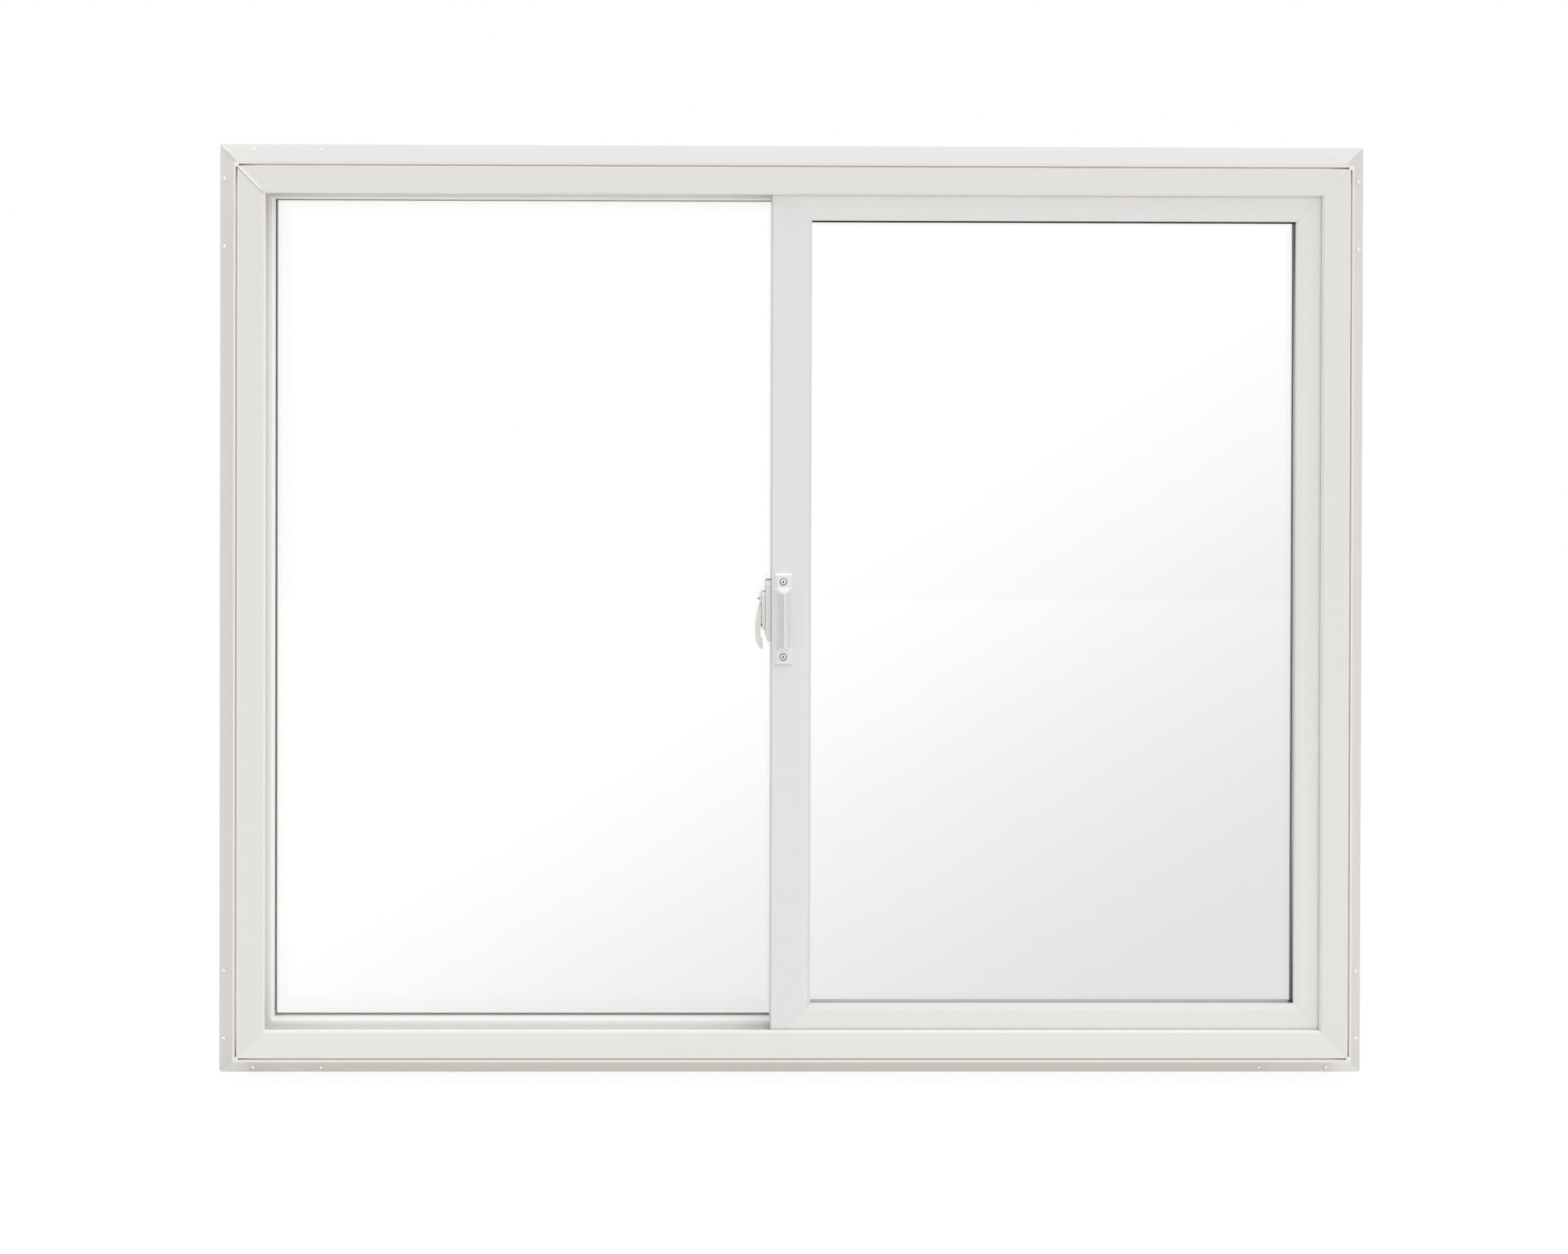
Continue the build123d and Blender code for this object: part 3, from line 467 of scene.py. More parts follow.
jamb_stile_low, jamb_stile_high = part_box("sash_jamb_stile")
SASH_LEFT, SASH_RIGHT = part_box("sash_bottom_rail")[0].x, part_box("sash_bottom_rail")[1].x
SASH_X = (SASH_LEFT + SASH_RIGHT) / 2
SASH_HALF_WIDE = (SASH_RIGHT - SASH_LEFT) / 2
SASH_HALF_HIGH = (jamb_stile_high.z - jamb_stile_low.z) / 2
frame_level = pvc("frame_pvc_level", "x", 0.0, HALF_WIDE, HALF_HIGH, frame_marks)
frame_upright = pvc("frame_pvc_upright", "z", 0.0, HALF_WIDE, HALF_HIGH, frame_marks)
sash_level = pvc("sash_pvc_level", "x", SASH_X, SASH_HALF_WIDE, SASH_HALF_HIGH, sash_marks)
sash_upright = pvc("sash_pvc_upright", "z", SASH_X, SASH_HALF_WIDE, SASH_HALF_HIGH, sash_marks)
print("sash from", round(SASH_LEFT, 4), "to", round(SASH_RIGHT, 4))

# %% [markdown]
# The glass lets the white studio through and holds one broad grey reflection.
# It starts on a slope of 32 degrees through the middle of the window and deepens towards the lower right.
# It is painted as the tint of the room-side panes, so it stays there from every side.
# Along the top of the sash the black seal of the pane's edge shows as a thin line.
# Lamps would leave a dark shadow behind the glass.
# So their rays, and the light that the PVC scatters, pass straight through it.

# %% Glass
SEAL_BLACK = (0.01, 0.01, 0.01)
SEAL_HIGH = 0.0022
SASH_SIGHT_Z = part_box("sash_top_rail")[0].z
SLOPE_X, SLOPE_Z, SLOPE_LONG = 0.493, 0.789, 0.65
TINT_STOPS = [
    (0.0, 1.0), (0.12, 0.973), (0.25, 0.94), (0.38, 0.897), (0.52, 0.858),
    (0.65, 0.824), (0.79, 0.789), (0.92, 0.766), (1.0, 0.76),
]


def glass(name, tinted):
    """Clear float glass, with the grey reflection where it is tinted."""
    material, shader, where, (x, _, z) = finish(name, Roughness=0.0, IOR=1.45, Transmission_Weight=1.0)
    if tinted:
        slope = x * SLOPE_X - (z - MIDDLE_Z) * SLOPE_Z
        share = where.math("MULTIPLY", slope, 1 / SLOPE_LONG, clamp=True)
        tint = where.node("ShaderNodeValToRGB", {"stops": TINT_STOPS}, {0: share})
        on_sash = where.math("GREATER_THAN", x, stile_high.x - 0.012)
        seal = (1.0 - z.below(SASH_SIGHT_Z - SEAL_HIGH, 0.0003)) * on_sash
        plug(shader, "Base Color", mix(where, seal, tint, SEAL_BLACK))
    else:
        haze = noise(where, 3.0, 2.0)
        plug(shader, "Base Color", mix(where, haze, (0.994, 1.0, 0.997), (0.998, 1.0, 0.999)))
    through = where.node("ShaderNodeBsdfTransparent")
    straight = any_ray(where.tree, "Shadow", "Diffuse")
    surface(straight, Field(where.tree, shader.outputs[0]), through, "Material Output")
    return material


room_glass = glass("pane_glass_room", True)
outdoor_glass = glass("pane_glass_outdoor", False)


# %% [markdown]
# The spacer between the panes shows as a thin line where the camera looks past the edge of a bar.
# It is black with a row of tiny holes.
# On the sash its near half is painted with the green light of the glass edge, but only about half way up.
# At the foot of the sash it catches the light, so there it is painted pale grey, with one dark line near its front. At
# the foot of the fixed light only its near half is painted pale, as light.

# %% Spacer, rubber, pile and metal
SPACER_BLACK = (0.012, 0.014, 0.014)
SPACER_GREEN_LIGHT = (0.70, 0.84, 0.79)
SPACER_EDGE = (0.42, 0.52, 0.49)
SPACER_LIT = (0.66, 0.66, 0.66)
SPACER_PALE_LIT = (0.85, 0.85, 0.84)
HOLE_PITCH = 0.0033
NEAR_HALF, FOOT_HIGH = 0.0046, 0.012


def spacer(node, lit_below):
    """Perforated spacer bar of one of the two lights."""
    material, shader, where, (x, y, z) = finish(node + "_bar", Metallic=0.2, Roughness=0.45)
    low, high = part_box(node)
    near = (y - low.y).below(NEAR_HALF, 0.0015)
    foot = (z - low.z).below(FOOT_HIGH, 0.002)
    if lit_below:
        # Painted green light from the glass edge.
        green = near * band(z, MIDDLE_Z, GREEN_HALF_HIGH, GREEN_SOFT)
        colour = mix(where, green, SPACER_BLACK, SPACER_GREEN_LIGHT)
        # Painted light where the foot catches the light.
        lit = foot * (1.0 - (high.x - x).below(0.010, 0.002))
        edge = band(y, low.y + 0.0010, 0.0008, 0.0006)
        colour = mix(where, lit, colour, mix(where, edge, SPACER_LIT, SPACER_EDGE))
    else:
        # Painted light on the near half of the foot.
        colour = mix(where, near * foot, SPACER_BLACK, SPACER_PALE_LIT)
    along = where.math("FRACT", (x + z) / HOLE_PITCH) - 0.5
    holes = abs(along).below(0.16, 0.12) * band(y, (low.y + high.y) / 2, 0.0012, 0.0008)
    steps = noise(where, 260.0, 2.0)
    plug(shader, "Base Color", mix(where, holes * (foot * 0.5 + 0.2), colour, SPACER_BLACK))
    plug(shader, "Roughness", 0.35 + steps * 0.2)
    return material


def plain(name, low, high, scale, rough, rough_range, relief, marks=None, **constants):
    """A finish whose colour and roughness wander between two values, over a fine relief in metres."""
    material, shader, where, axes = finish(name, **constants)
    cloud = noise(where, scale, 4.0, 0.6)
    colour = mix(where, cloud, low, high)
    if marks:
        colour = marks(where, colour, *axes)
    plug(shader, "Base Color", colour)
    plug(shader, "Roughness", rough + cloud * rough_range)
    grain = noise(where, scale * 12.0, 2.0)
    bump(shader, grain, 0.3, relief)
    return material


fixed_spacer, sash_spacer = spacer("fixed_glass_spacer", False), spacer("sash_glass_spacer", True)
rubber = plain("glazing_rubber", (0.02, 0.022, 0.022), (0.035, 0.037, 0.037), 40.0, 0.7, 0.2, 0.0002)
pile = plain("woven_pile", (0.66, 0.62, 0.58), (0.84, 0.80, 0.77), 900.0, 0.9, 0.08, 0.0006)
moulded = plain("moulded_plastic", (0.66, 0.66, 0.65), (0.74, 0.74, 0.73), 60.0, 0.5, 0.1, 0.0001)
# The welded PVC is whiter than the frame, partly its own paler white and partly painted highlight.
weld_pvc_and_highlight = plain("weld_pvc_and_highlight", (0.93, 0.92, 0.89), (0.97, 0.965, 0.95), 150.0, 0.3, 0.12, 0.0001)
steel = plain("screw_steel", (0.72, 0.72, 0.73), (0.84, 0.84, 0.85), 300.0, 0.28, 0.12, 0.00003, Metallic=1.0)
pin_steel = plain("pin_steel", (0.30, 0.30, 0.30), (0.40, 0.40, 0.40), 300.0, 0.4, 0.12, 0.00003, Metallic=1.0)
painted_hollow_shade = plain("painted_hollow_shade", (0.03, 0.03, 0.03), (0.06, 0.06, 0.06), 300.0, 0.7, 0.12, 0.00003)

# %% [markdown]
# The handle and the lock are moulded: the handle in a cool white, the lock in a pale warm grey.
# Painted light makes the handle nearly white where it looks up, at its top edge and on the slope that leads down to
# its grip.
# The sides of the grip get painted shade, most of all the left one.
# The lock has caps painted pale as light on their tops, thin dark lines where its parts meet, and painted shadows of
# the small gaps behind its lever.

# %% Handle and lock plastic
HANDLE_LOW, HANDLE_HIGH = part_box("pull_handle")
HANDLE_X = (HANDLE_LOW.x + HANDLE_HIGH.x) / 2
PAD_LONG, RAMP_LONG = 0.0193, 0.0075
LOCK_LOW, LOCK_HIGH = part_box("lock_base")
BODY_LOW, BODY_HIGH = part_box("lock_body")
LINE_DARK = (0.16, 0.16, 0.15)
GRIP_HALF_WIDE = 0.0087
TOP_PAINTED_LIGHT = (0.99, 0.99, 0.99)
LEFT_FLANK_SHADE = (0.64, 0.64, 0.66)
RIGHT_FLANK_SHADE = (0.75, 0.75, 0.77)
FOOT_SHADOW_GREY = (0.35, 0.35, 0.35)
CAP_PAINTED_LIGHT = (0.90, 0.90, 0.88)
GAP_SHADOW_BLACK = (0.01, 0.01, 0.01)
LEVER_GAPS = ((0.0173, 0.0007), (0.0077, 0.0012), (0.0024, 0.0007))


def handle_marks(where, colour, x, y, z):
    """Painted light on the upward sides, painted shade on the flanks of the grip and a painted shadow line at its
    foot.
    """
    slope_z = HANDLE_HIGH.z - PAD_LONG - RAMP_LONG / 2
    # Painted light where the handle looks up.
    up = band(z, slope_z, RAMP_LONG / 2, 0.0004).at_least(1.0 - z.below(HANDLE_HIGH.z - 0.0030, 0.0004))
    colour = mix(where, up, colour, TOP_PAINTED_LIGHT)
    half_grip = (HANDLE_HIGH.z - HANDLE_LOW.z) / 2 - PAD_LONG - RAMP_LONG
    grip = band(z, (HANDLE_LOW.z + HANDLE_HIGH.z) / 2, half_grip, 0.004)
    # Painted shade on the two flanks of the grip.
    flank = ramp(x - HANDLE_X, 1 / GRIP_HALF_WIDE, 1.0) * where.math("LESS_THAN", x, HANDLE_X - 0.0004)
    colour = mix(where, grip * flank * 0.9, colour, LEFT_FLANK_SHADE)
    other = where.math("GREATER_THAN", x, HANDLE_X + 0.0004) * y.below(HANDLE_HIGH.y - 0.0055, 0.002)
    colour = mix(where, grip * other * 0.8, colour, RIGHT_FLANK_SHADE)
    # A painted shadow line along the foot of the handle.
    return mix(where, z.below(HANDLE_LOW.z + 0.0005, 0.0004), colour, FOOT_SHADOW_GREY)


def lock_marks(where, colour, x, y, z):
    """Caps painted pale as light, dark joint lines and painted shadows of the gaps behind the lever."""
    outside = where.math("LESS_THAN", x, LOCK_LOW.x)
    # Painted light on the tops of the caps.
    cap = band(z, LOCK_HIGH.z - 0.0038, 0.0026, 0.0006) * (1.0 - outside)
    cap = cap.at_least(band(z, BODY_HIGH.z - 0.0036, 0.0024, 0.0006) * outside)
    colour = mix(where, cap, colour, CAP_PAINTED_LIGHT)
    line = band(z, LOCK_HIGH.z, 0.0005, 0.0003) * (1.0 - outside)
    line = line.at_least(band(z, BODY_HIGH.z, 0.0004, 0.0003) * outside * 0.6)
    line = line.at_least(band(x, LOCK_HIGH.x, 0.0004, 0.0004) * 0.5)
    line = line.at_least(band(x, LOCK_LOW.x, 0.0003, 0.0004) * 0.25)
    seam = band(x, BODY_LOW.x, 0.0003, 0.0004) * band(z, BODY_LOW.z + 0.018, 0.018, 0.002) * 0.5
    colour = mix(where, line.at_least(seam), colour, LINE_DARK)
    # Painted shadows of the gaps behind the lever.
    for height, radius in LEVER_GAPS:
        across, up = x - BODY_LOW.x, z - (BODY_LOW.z + height)
        gap = where.math("SQRT", across * across + up * up).below(radius, 0.0004)
        colour = mix(where, gap, colour, GAP_SHADOW_BLACK)
    return colour


HANDLE_WHITES = (0.815, 0.818, 0.840), (0.845, 0.848, 0.870)
LOCK_WHITES = (0.768, 0.772, 0.752), (0.812, 0.816, 0.797)
handle_plastic = plain("handle_plastic", *HANDLE_WHITES, 30.0, 0.3, 0.1, 0.00005, handle_marks)
lock_plastic = plain("lock_plastic", *LOCK_WHITES, 30.0, 0.34, 0.1, 0.00005, lock_marks)

# %% Give every solid its finish
finishes = {
    "frame_head": frame_level, "frame_sill": frame_level, "frame_left_jamb": frame_upright,
    "frame_right_jamb": frame_upright, "fixed_meeting_rail": frame_upright, "sill_roller_track": frame_level,
    "weep_covers": frame_level, "head_lift_blocks": moulded,
    "fixed_bead_bottom": frame_level, "fixed_bead_top": frame_level,
    "fixed_bead_left": frame_upright, "fixed_bead_right": frame_upright,
    "sash_bottom_rail": sash_level, "sash_top_rail": sash_level, "sash_bead_bottom": sash_level,
    "sash_bead_top": sash_level, "sash_jamb_stile": sash_upright, "sash_meeting_stile": sash_upright,
    "sash_bead_left": sash_upright, "sash_bead_right": sash_upright,
    "fixed_glass_room": room_glass, "sash_glass_room": room_glass,
    "fixed_glass_outdoor": outdoor_glass, "sash_glass_outdoor": outdoor_glass,
    "fixed_glass_spacer": fixed_spacer, "sash_glass_spacer": sash_spacer,
    "fixed_glazing_tape": rubber, "sash_glazing_tape": rubber,
    "fixed_setting_blocks": rubber, "sash_setting_blocks": rubber,
    "sash_pile_room": pile, "sash_pile_outdoor": pile, "meeting_pile": pile,
    "pull_handle": handle_plastic, "handle_screws": steel,
    "lock_base": lock_plastic, "lock_body": lock_plastic, "lock_lever": lock_plastic,
    "lock_pivot_pin": pin_steel, "lock_cam": steel, "lock_keeper": steel,
    "roller_housings": moulded, "roller_wheels": moulded, "roller_pins": steel,
}
for name, material in finishes.items():
    nodes[name].data.materials.clear()
    nodes[name].data.materials.append(material)
print(len(finishes), "of", len(nodes), "solids have a finish; missing", sorted(set(nodes) - set(finishes)))

# %% [markdown]
# The hard parts of the lock and the handle are moulded, so none of their edges is sharp.
# A copy of each solid gets its corners joined and its flat sides made whole again.
# Then a Bevel modifier rounds every edge.
# That is quicker than modelling them again, and it can't end up in another place than the solid it stands for.


# %% Rounded copies of moulded parts
def pick(*pieces):
    """Selects some pieces and no others, and makes the first the active one."""
    bpy.ops.object.select_all(action="DESELECT")
    for piece in pieces:
        piece.select_set(True)
    bpy.context.view_layer.objects.active = pieces[0]


def fix_place():
    """Moves, turns and scales the points of the selected pieces themselves."""
    bpy.ops.object.transform_apply(location=True, rotation=True, scale=True)


def settle(piece, name, slot, *materials):
    """Names a finished piece, gives it its materials and lets it ride with the window."""
    pick(piece)
    fix_place()
    piece.name = name
    piece.data.materials.clear()
    for material in materials:
        piece.data.materials.append(material)
    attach(piece, "root")
    print(name, len(piece.data.polygons), "faces")
    return piece


def use(piece, kind, **settings):
    """Adds a modifier to a piece and applies it."""
    bpy.context.view_layer.objects.active = piece
    added = piece.modifiers.new(kind.lower(), kind)
    for name, value in settings.items():
        setattr(added, name, value)
    bpy.ops.object.modifier_apply(modifier=added.name)


def edit(piece, test=None):
    """Opens a piece in edit mode with the points selected whose place passes the test, or all of them."""
    pick(piece)
    bpy.ops.object.mode_set(mode="EDIT")
    bpy.ops.mesh.select_mode(type="VERT")
    bpy.ops.mesh.select_all(action="DESELECT" if test else "SELECT")
    if test:
        mesh = bmesh.from_edit_mesh(piece.data)
        for vertex in mesh.verts:
            vertex.select_set(bool(test(piece.matrix_world @ vertex.co)))
        mesh.select_flush(True)
        bmesh.update_edit_mesh(piece.data)


def whole_copy(node):
    """A copy of a solid with its triangles joined into whole flat sides."""
    piece = bpy.data.objects.new(node + "_copy", nodes[node].data.copy())
    bpy.context.scene.collection.objects.link(piece)
    edit(piece)
    bpy.ops.mesh.remove_doubles(threshold=0.00001)
    bpy.ops.mesh.dissolve_limited(angle_limit=math.radians(2.0))
    bpy.ops.object.mode_set(mode="OBJECT")
    return piece


def soften(piece, radius, sharpest=28.0):
    """Rounds every edge that is sharper than an angle."""
    use(piece, "BEVEL", width=radius, segments=3, limit_method="ANGLE", angle_limit=math.radians(sharpest))
    pick(piece)
    bpy.ops.object.shade_smooth_by_angle(angle=math.radians(35.0))


LOCK_ROUNDING = {"lock_base": 0.0006, "lock_body": 0.0006, "lock_lever": 0.0007}
for node, radius in LOCK_ROUNDING.items():
    moulding = whole_copy(node)
    soften(moulding, radius)
    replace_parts(settle(moulding, node + "_moulded", "lock_plastic", lock_plastic), node)

# %% [markdown]
# The two screws of the handle sit in round seats that are wider than their heads, so each shows a dark ring.
# The seats are cut into the copy of the handle with a Boolean before its edges are rounded.
# Their sides get a dark second material, painted shade.

# %% Handle with its two screw seats
SCREW_LOW, SCREW_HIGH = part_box("handle_screws")
SCREW_X = (SCREW_LOW.x + SCREW_HIGH.x) / 2
HEAD_RADIUS = (SCREW_HIGH.x - SCREW_LOW.x) / 2
SCREW_HEIGHTS = (SCREW_LOW.z + HEAD_RADIUS, SCREW_HIGH.z - HEAD_RADIUS)
HEAD_PROUD = 0.0016
PAD_FACE_Y = SCREW_LOW.y + HEAD_PROUD
SEAT_DEEP = 0.0034
SEAT_RADIUS = HEAD_RADIUS - 0.0003


def paint(piece, index, test):
    """Gives the faces whose middle passes a test another of the piece's materials."""
    for face in piece.data.polygons:
        if test(face.center):
            face.material_index = index


def cut(piece, tool):
    """Cuts one piece out of another and removes it."""
    use(piece, "BOOLEAN", operation="DIFFERENCE", solver="EXACT", object=tool)
    bpy.data.objects.remove(tool)


def from_screw(at, height):
    """How far a place lies from the axis of the screw at this height."""
    return math.hypot(at.x - SCREW_X, at.z - height)


handle = whole_copy("pull_handle")
for height in SCREW_HEIGHTS:
    bpy.ops.object.select_all(action="DESELECT")
    bpy.ops.mesh.primitive_cylinder_add(
        vertices=48, radius=SEAT_RADIUS, depth=SEAT_DEEP * 2,
        location=(SCREW_X, PAD_FACE_Y, height), rotation=(math.pi / 2, 0, 0),
    )
    cut(handle, bpy.context.object)
soften(handle, 0.0004)
handle = settle(handle, "pull_handle_moulded", "handle_plastic", handle_plastic, painted_hollow_shade)
for height in SCREW_HEIGHTS:
    # Painted shade on the sides of the seats.
    paint(handle, 1, lambda at: at.y > PAD_FACE_Y + 0.0004 and from_screw(at, height) < HEAD_RADIUS)
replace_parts(handle, "pull_handle")

# %% [markdown]
# A pan-head screw is a short cylinder whose rim is drawn in, step by step, to a shallow dome.
# Its cross recess is cut with two crossed blades that get narrower towards their tips, as the driver does.
# The two screws stopped at different angles, and the bottom of each recess is painted dark as shade.


# %% Cross-recess screws
BLADE = Vector((0.0050, 0.0016, 0.0040))
SCREW_RADIUS = HEAD_RADIUS - 0.0013
SCREW_TURNS = (42.0, 25.0)
CROSS_RADIUS, CROSS_DEEP = HEAD_RADIUS - 0.0016, 0.0025


def block(place, size, turn=0.0):
    """A box of this size round a place, turned about the vertical."""
    bpy.ops.object.select_all(action="DESELECT")
    bpy.ops.mesh.primitive_cube_add(size=1.0, location=place)
    made = bpy.context.object
    made.scale = size
    made.rotation_euler.z = turn
    fix_place()
    return made


def screw_head(place, radius, turn):
    """A domed screw head with a cross recess, standing in its seat."""
    bpy.ops.object.select_all(action="DESELECT")
    bpy.ops.mesh.primitive_cylinder_add(vertices=48, radius=radius, depth=SEAT_DEEP, location=(0, 0, SEAT_DEEP / 2))
    head = bpy.context.object
    fix_place()
    edit(head, lambda at: at.z > SEAT_DEEP - 0.0001)
    for inward, upward in ((0.0004, 0.0003), (0.0009, 0.0002), (0.0012, 0.0001)):
        bpy.ops.mesh.inset(thickness=inward, depth=upward)
    bpy.ops.object.mode_set(mode="OBJECT")
    for blade_turn in (0.0, math.pi / 2):
        blade = block((0, 0, BLADE.z), BLADE, blade_turn + turn)
        edit(blade, lambda at: at.z < BLADE.z)
        bpy.ops.transform.resize(value=(0.35, 0.35, 1.0), center_override=(0, 0, BLADE.z / 2))
        bpy.ops.object.mode_set(mode="OBJECT")
        cut(head, blade)
    use(head, "BEVEL", width=0.00012, segments=2, limit_method="ANGLE", angle_limit=math.radians(40.0))
    pick(head)
    bpy.ops.object.shade_smooth_by_angle(angle=math.radians(30.0))
    head.matrix_world = Matrix.Translation(place) @ Matrix.Rotation(math.pi / 2, 4, "X")
    return head


heads = [
    screw_head((SCREW_X, PAD_FACE_Y + SEAT_DEEP, height), SCREW_RADIUS, math.radians(turn))
    for height, turn in zip(SCREW_HEIGHTS, SCREW_TURNS)
]
screws = [
    settle(head, f"handle_screw_{place}", "screw_steel", steel, painted_hollow_shade)
    for head, place in zip(heads, ("lower", "upper"))
]
for screw, height in zip(screws, SCREW_HEIGHTS):
    # Painted shade at the bottom of the cross recesses.
    paint(screw, 1, lambda at: 0.0 < at.y - PAD_FACE_Y < CROSS_DEEP and from_screw(at, height) < CROSS_RADIUS)
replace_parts(screws[0], "handle_screws")
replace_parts(screws[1], "handle_screws")

# %% [markdown]
# Where two bars were melted together, a little PVC is squeezed out along the 45 degree joint and trimmed off again.
# At the top left corner a ridge of it is left, and at the other corners only a faint line.
# Such a bead is a thin round bar, flattened and half sunk into the face, that wavers a little.
# In code it is a cylinder cut into short lengths, whose rings are then moved one by one from a seeded table.


# %% Weld beads
def weld_bead(name, material, start, end, wide, proud, waver, seed, cuts=28):
    """A wavering bead from start to end, half sunk into a face that looks at the room."""
    start, end = Vector(start), Vector(end)
    run = end - start
    bpy.ops.object.select_all(action="DESELECT")
    bpy.ops.mesh.primitive_cylinder_add(vertices=12, radius=0.5, depth=1.0)
    bead = bpy.context.object
    edit(bead)
    for step in range(1, cuts):
        bpy.ops.mesh.select_all(action="SELECT")
        bpy.ops.mesh.bisect(plane_co=(0, 0, step / cuts - 0.5), plane_no=(0, 0, 1))
    chance = random.Random(seed)
    drift, sway = 0.0, {}
    for step in range(cuts + 1):
        drift = 0.7 * drift + chance.uniform(-1.0, 1.0) * waver
        sway[step] = (drift, chance.uniform(0.8, 1.15))
    mesh = bmesh.from_edit_mesh(bead.data)
    side = Vector((-run.z, 0.0, run.x)).normalized()
    for vertex in mesh.verts:
        along = vertex.co.z + 0.5
        shift, fat = sway[round(along * cuts)]
        ends = min(1.0, 6.0 * along + 0.15, 6.0 * (1.0 - along) + 0.15)
        across, out = vertex.co.x * wide * fat * ends, vertex.co.y * 2.0 * proud * fat * ends
        vertex.co = start + run * along + side * (across + shift * ends) + Vector((0.0, out, 0.0))
    bmesh.update_edit_mesh(bead.data)
    bpy.ops.mesh.select_all(action="SELECT")
    bpy.ops.mesh.normals_make_consistent(inside=False)
    bpy.ops.object.mode_set(mode="OBJECT")
    bpy.ops.object.shade_smooth()
    return settle(bead, name, "frame_pvc", material)


def corner_spot(side, reach, y):
    """A place on the diagonal of a corner of the frame, by its distance in from the two outer faces."""
    right, up = side
    return right * (HALF_WIDE - reach), y, MIDDLE_Z + up * (HALF_HIGH - reach)


FIN_FACE_Y = -0.0018
CORNERS = {"top_left": (-1, 1), "top_right": (1, 1), "bottom_left": (-1, -1), "bottom_right": (1, -1)}
# Each bead has its width, its height above the face and its waver, then its two reaches and its depth.
STRONG = {"face": (0.0030, 0.0017, 0.00022), "fin": (0.0028, 0.0014, 0.0013)}
FAINT = {"face": (0.0007, 0.00012, 0.0001), "fin": (0.0008, 0.0002, 0.0005)}
ENDS = {"face": (0.0058, 0.0400, FACE_Y), "fin": (-0.0305, -0.0005, FIN_FACE_Y)}
for seed, (corner, side) in enumerate(CORNERS.items()):
    strong = corner == "top_left"
    sizes, material = (STRONG, weld_pvc_and_highlight) if strong else (FAINT, frame_level)
    for place, (outer, inner, y) in ENDS.items():
        start, end = corner_spot(side, outer, y), corner_spot(side, inner, y)
        weld_bead(f"{place}_weld_{corner}", material, start, end, *sizes[place], seed)

# %% [markdown]
# The groove that takes the edge of the plasterboard runs round the frame.
# At its four corners it is closed by a lump of welded PVC.
# Each lump is a box, divided and rounded by a Subdivision Surface modifier, with its points pushed about a little.


# %% Lumps in the corners of the groove
def groove_lump(name, place, size, seed):
    """A small rounded lump of PVC."""
    lump = block(place, size)
    edit(lump)
    bpy.ops.mesh.subdivide(number_cuts=2, smoothness=0.0)
    bpy.ops.transform.vertex_random(offset=min(size) * 0.16, seed=seed)
    bpy.ops.object.mode_set(mode="OBJECT")
    use(lump, "SUBSURF", levels=2, render_levels=2)
    bpy.ops.object.shade_smooth()
    return settle(lump, name, "frame_pvc", weld_pvc_and_highlight)


LUMP_SIZE = (0.0056, 0.0034, 0.0050)
LUMP_REACH, LUMP_DEEP = 0.0044, 0.0011
for seed, (corner, side) in enumerate(CORNERS.items()):
    groove_lump("groove_lump_" + corner, corner_spot(side, LUMP_REACH, FACE_Y + LUMP_DEEP), LUMP_SIZE, seed)

# %% [markdown]
# Each nail hole was punched from behind, which left a low burr round it.
# The burr is a thin ring sunk into the fin, a little higher on one side, and it is copied to all sixteen holes.
# The holes are told by how far they lie from a corner of the fin, along its edge and in from it.

# %% Burrs round the nail holes
FIN_HALF_WIDE, NAIL_EDGE = HALF_WIDE + FIN_WIDTH, 0.006
NAILS_ALONG = (0.0465, 0.140)
BURR_RADIUS, BURR_THICK = 0.0027, 0.0006
nail_places = []
for along in NAILS_ALONG:
    for right, up in CORNERS.values():
        nail_places.append((right * (FIN_HALF_WIDE - along), up * (HALF_FIN_HIGH - NAIL_EDGE)))
        nail_places.append((right * (FIN_HALF_WIDE - NAIL_EDGE), up * (HALF_FIN_HIGH - along)))
bpy.ops.object.select_all(action="DESELECT")
bpy.ops.mesh.primitive_torus_add(
    major_radius=BURR_RADIUS, minor_radius=BURR_THICK, major_segments=28, minor_segments=8,
    rotation=(math.pi / 2, 0, 0),
)
burr = bpy.context.object
fix_place()
edit(burr, lambda at: at.x + at.z < -0.0008)
bpy.ops.transform.resize(value=(1.0, 1.5, 1.0), center_override=(0, 0, 0))
bpy.ops.object.mode_set(mode="OBJECT")
bpy.ops.object.shade_smooth()
copies = []
for x, z in nail_places:
    copy = bpy.data.objects.new("nail_burr", burr.data.copy())
    bpy.context.scene.collection.objects.link(copy)
    copy.location = (x, FIN_FACE_Y, MIDDLE_Z + z)
    copies.append(copy)
bpy.data.objects.remove(burr)
pick(*copies)
bpy.ops.object.join()
# The burrs take the whiter PVC, partly painted highlight.
settle(copies[0], "nail_hole_burrs", "frame_pvc", weld_pvc_and_highlight)

# %% [markdown]
# The gap between the sash and the frame is closed by woven pile: a thin woven back with rows of upright fibres.
# One tuft is a box drawn out to a point, repeated along the strip by an Array modifier.
# Then each tuft leans its own way.


# %% Pile strips
PILE_PITCH = 0.0016
PILE_WIDE = 0.004


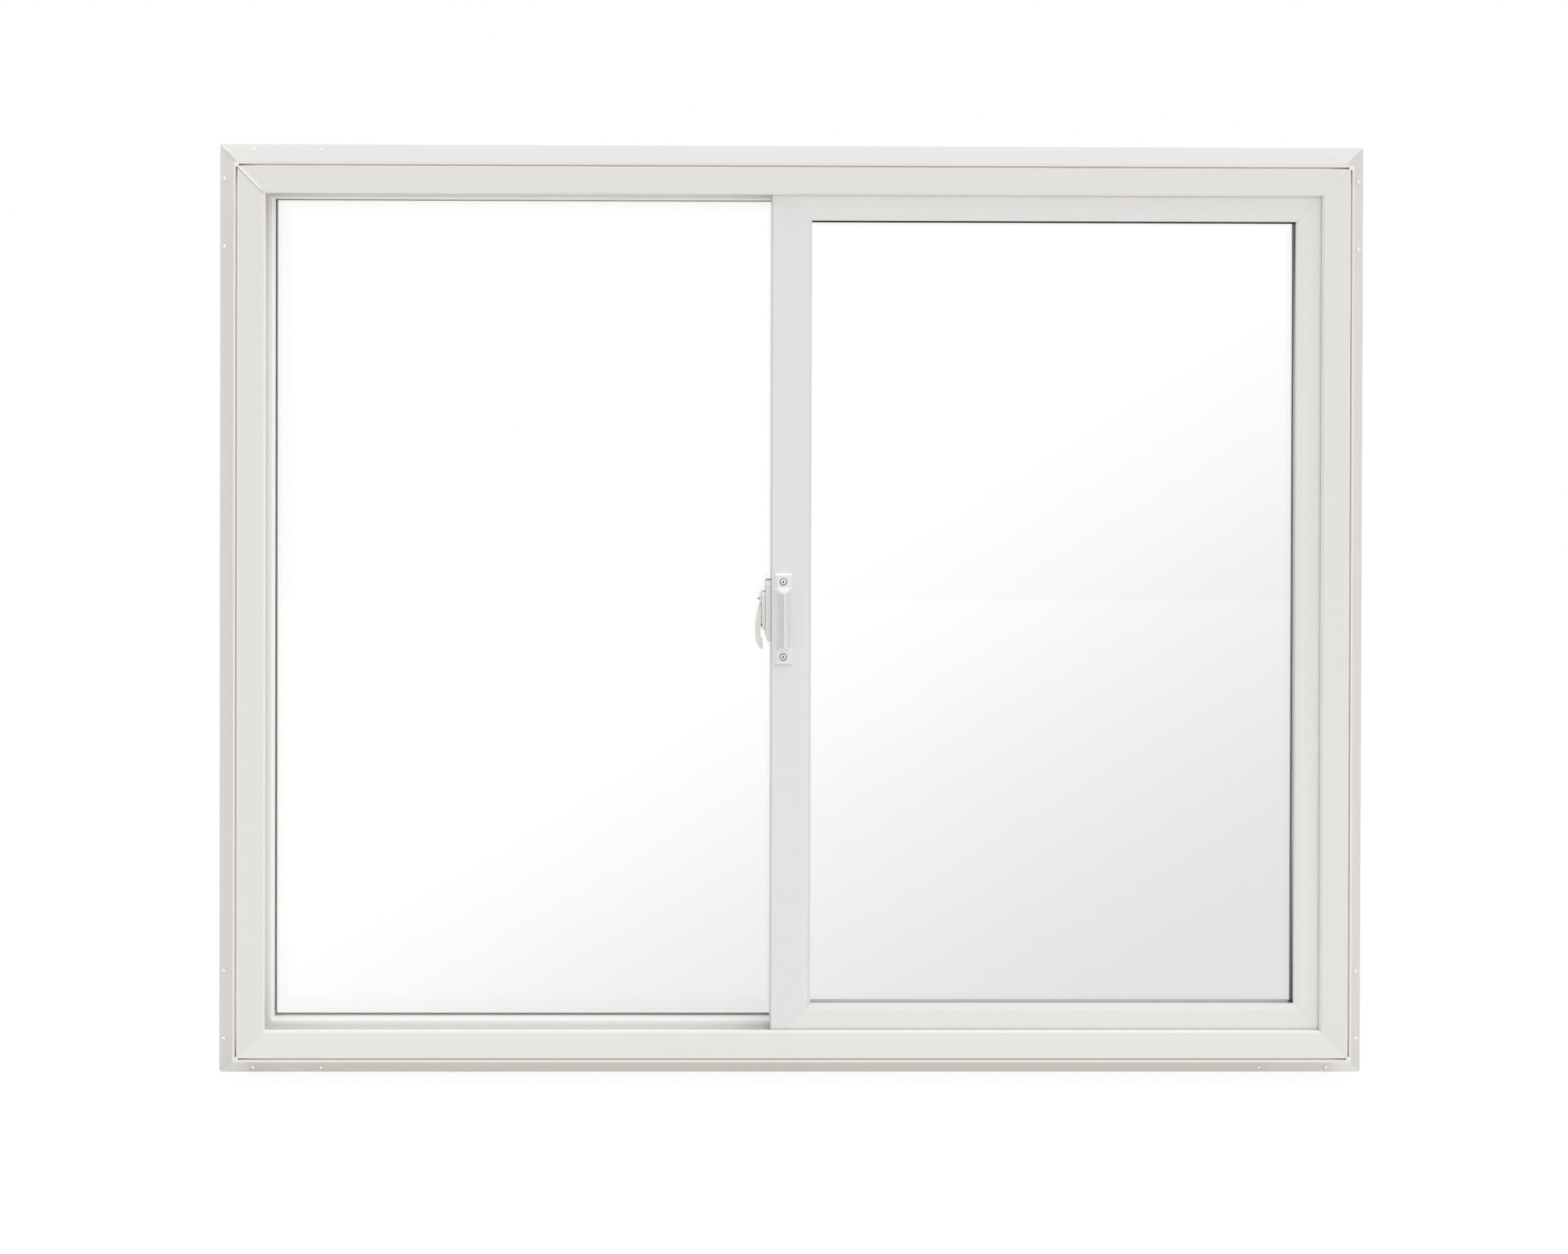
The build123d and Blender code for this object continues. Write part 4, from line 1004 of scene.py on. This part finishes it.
def pile_strip(low, high, axis, tips_low, seed):
    """A strip of tufts that fills a box, with its fibres along Y."""
    low, high = Vector(low), Vector(high)
    span = high - low
    length, width = (span.x, span.z) if axis == "x" else (span.z, span.x)
    deep, pitch = span.y, PILE_PITCH
    tuft = block((pitch / 2, deep * 0.6, width / 2), (pitch * 0.95, deep * 0.8, width * 0.9))
    edit(tuft, lambda at: at.y < deep * 0.3)
    bpy.ops.transform.resize(value=(0.25, 1.0, 0.7), center_override=(pitch / 2, 0, width / 2))
    bpy.ops.object.mode_set(mode="OBJECT")
    use(
        tuft, "ARRAY", use_relative_offset=False, use_constant_offset=True,
        constant_offset_displace=(pitch, 0, 0), count=int(length / pitch),
    )
    chance = random.Random(seed)
    points = tuft.data.vertices
    for first in range(0, len(points), 8):
        lean, reach = chance.uniform(-0.35, 0.35) * pitch, chance.uniform(0.0, 0.18) * deep
        for point in points[first:first + 8]:
            if point.co.y < deep * 0.3:
                point.co.x += lean
                point.co.y += reach
    back = block((length / 2, deep * 0.91, width / 2), (length, deep * 0.18, width))
    edit(back)
    bpy.ops.mesh.bevel(offset=deep * 0.05, segments=2)
    bpy.ops.object.mode_set(mode="OBJECT")
    pick(tuft, back)
    bpy.ops.object.join()
    place = Matrix.Translation(low)
    if axis == "z":
        place = place @ Matrix.Translation((width, 0, 0)) @ Matrix.Rotation(-math.pi / 2, 4, "Y")
    if not tips_low:
        place = place @ Matrix.Translation((0, deep, width)) @ Matrix.Rotation(math.pi, 4, "X")
    tuft.matrix_world = place
    return tuft


def pile_ring(node, name, tips_low, seed):
    """The strips along the bottom, the right side and the top of a node's box, as one piece."""
    low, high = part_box(node)
    wide = PILE_WIDE
    sides = [
        ((low.x, low.y, low.z), (high.x, high.y, low.z + wide), "x"),
        ((low.x, low.y, high.z - wide), (high.x, high.y, high.z), "x"),
        ((high.x - wide, low.y, low.z + wide), (high.x, high.y, high.z - wide), "z"),
    ]
    strips = [pile_strip(a, b, axis, tips_low, seed + k) for k, (a, b, axis) in enumerate(sides)]
    pick(*strips)
    bpy.ops.object.join()
    return settle(strips[0], name, "pile", pile)


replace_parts(pile_ring("sash_pile_room", "sash_pile_room_woven", True, 20), "sash_pile_room")
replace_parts(pile_ring("sash_pile_outdoor", "sash_pile_outdoor_woven", False, 30), "sash_pile_outdoor")
pile_low, pile_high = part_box("meeting_pile")
strip = pile_strip(pile_low, pile_high, "z", True, 40)
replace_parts(settle(strip, "meeting_pile_woven", "pile", pile), "meeting_pile")

# %% Standard colour view
bpy.context.scene.view_settings.view_transform = "Standard"
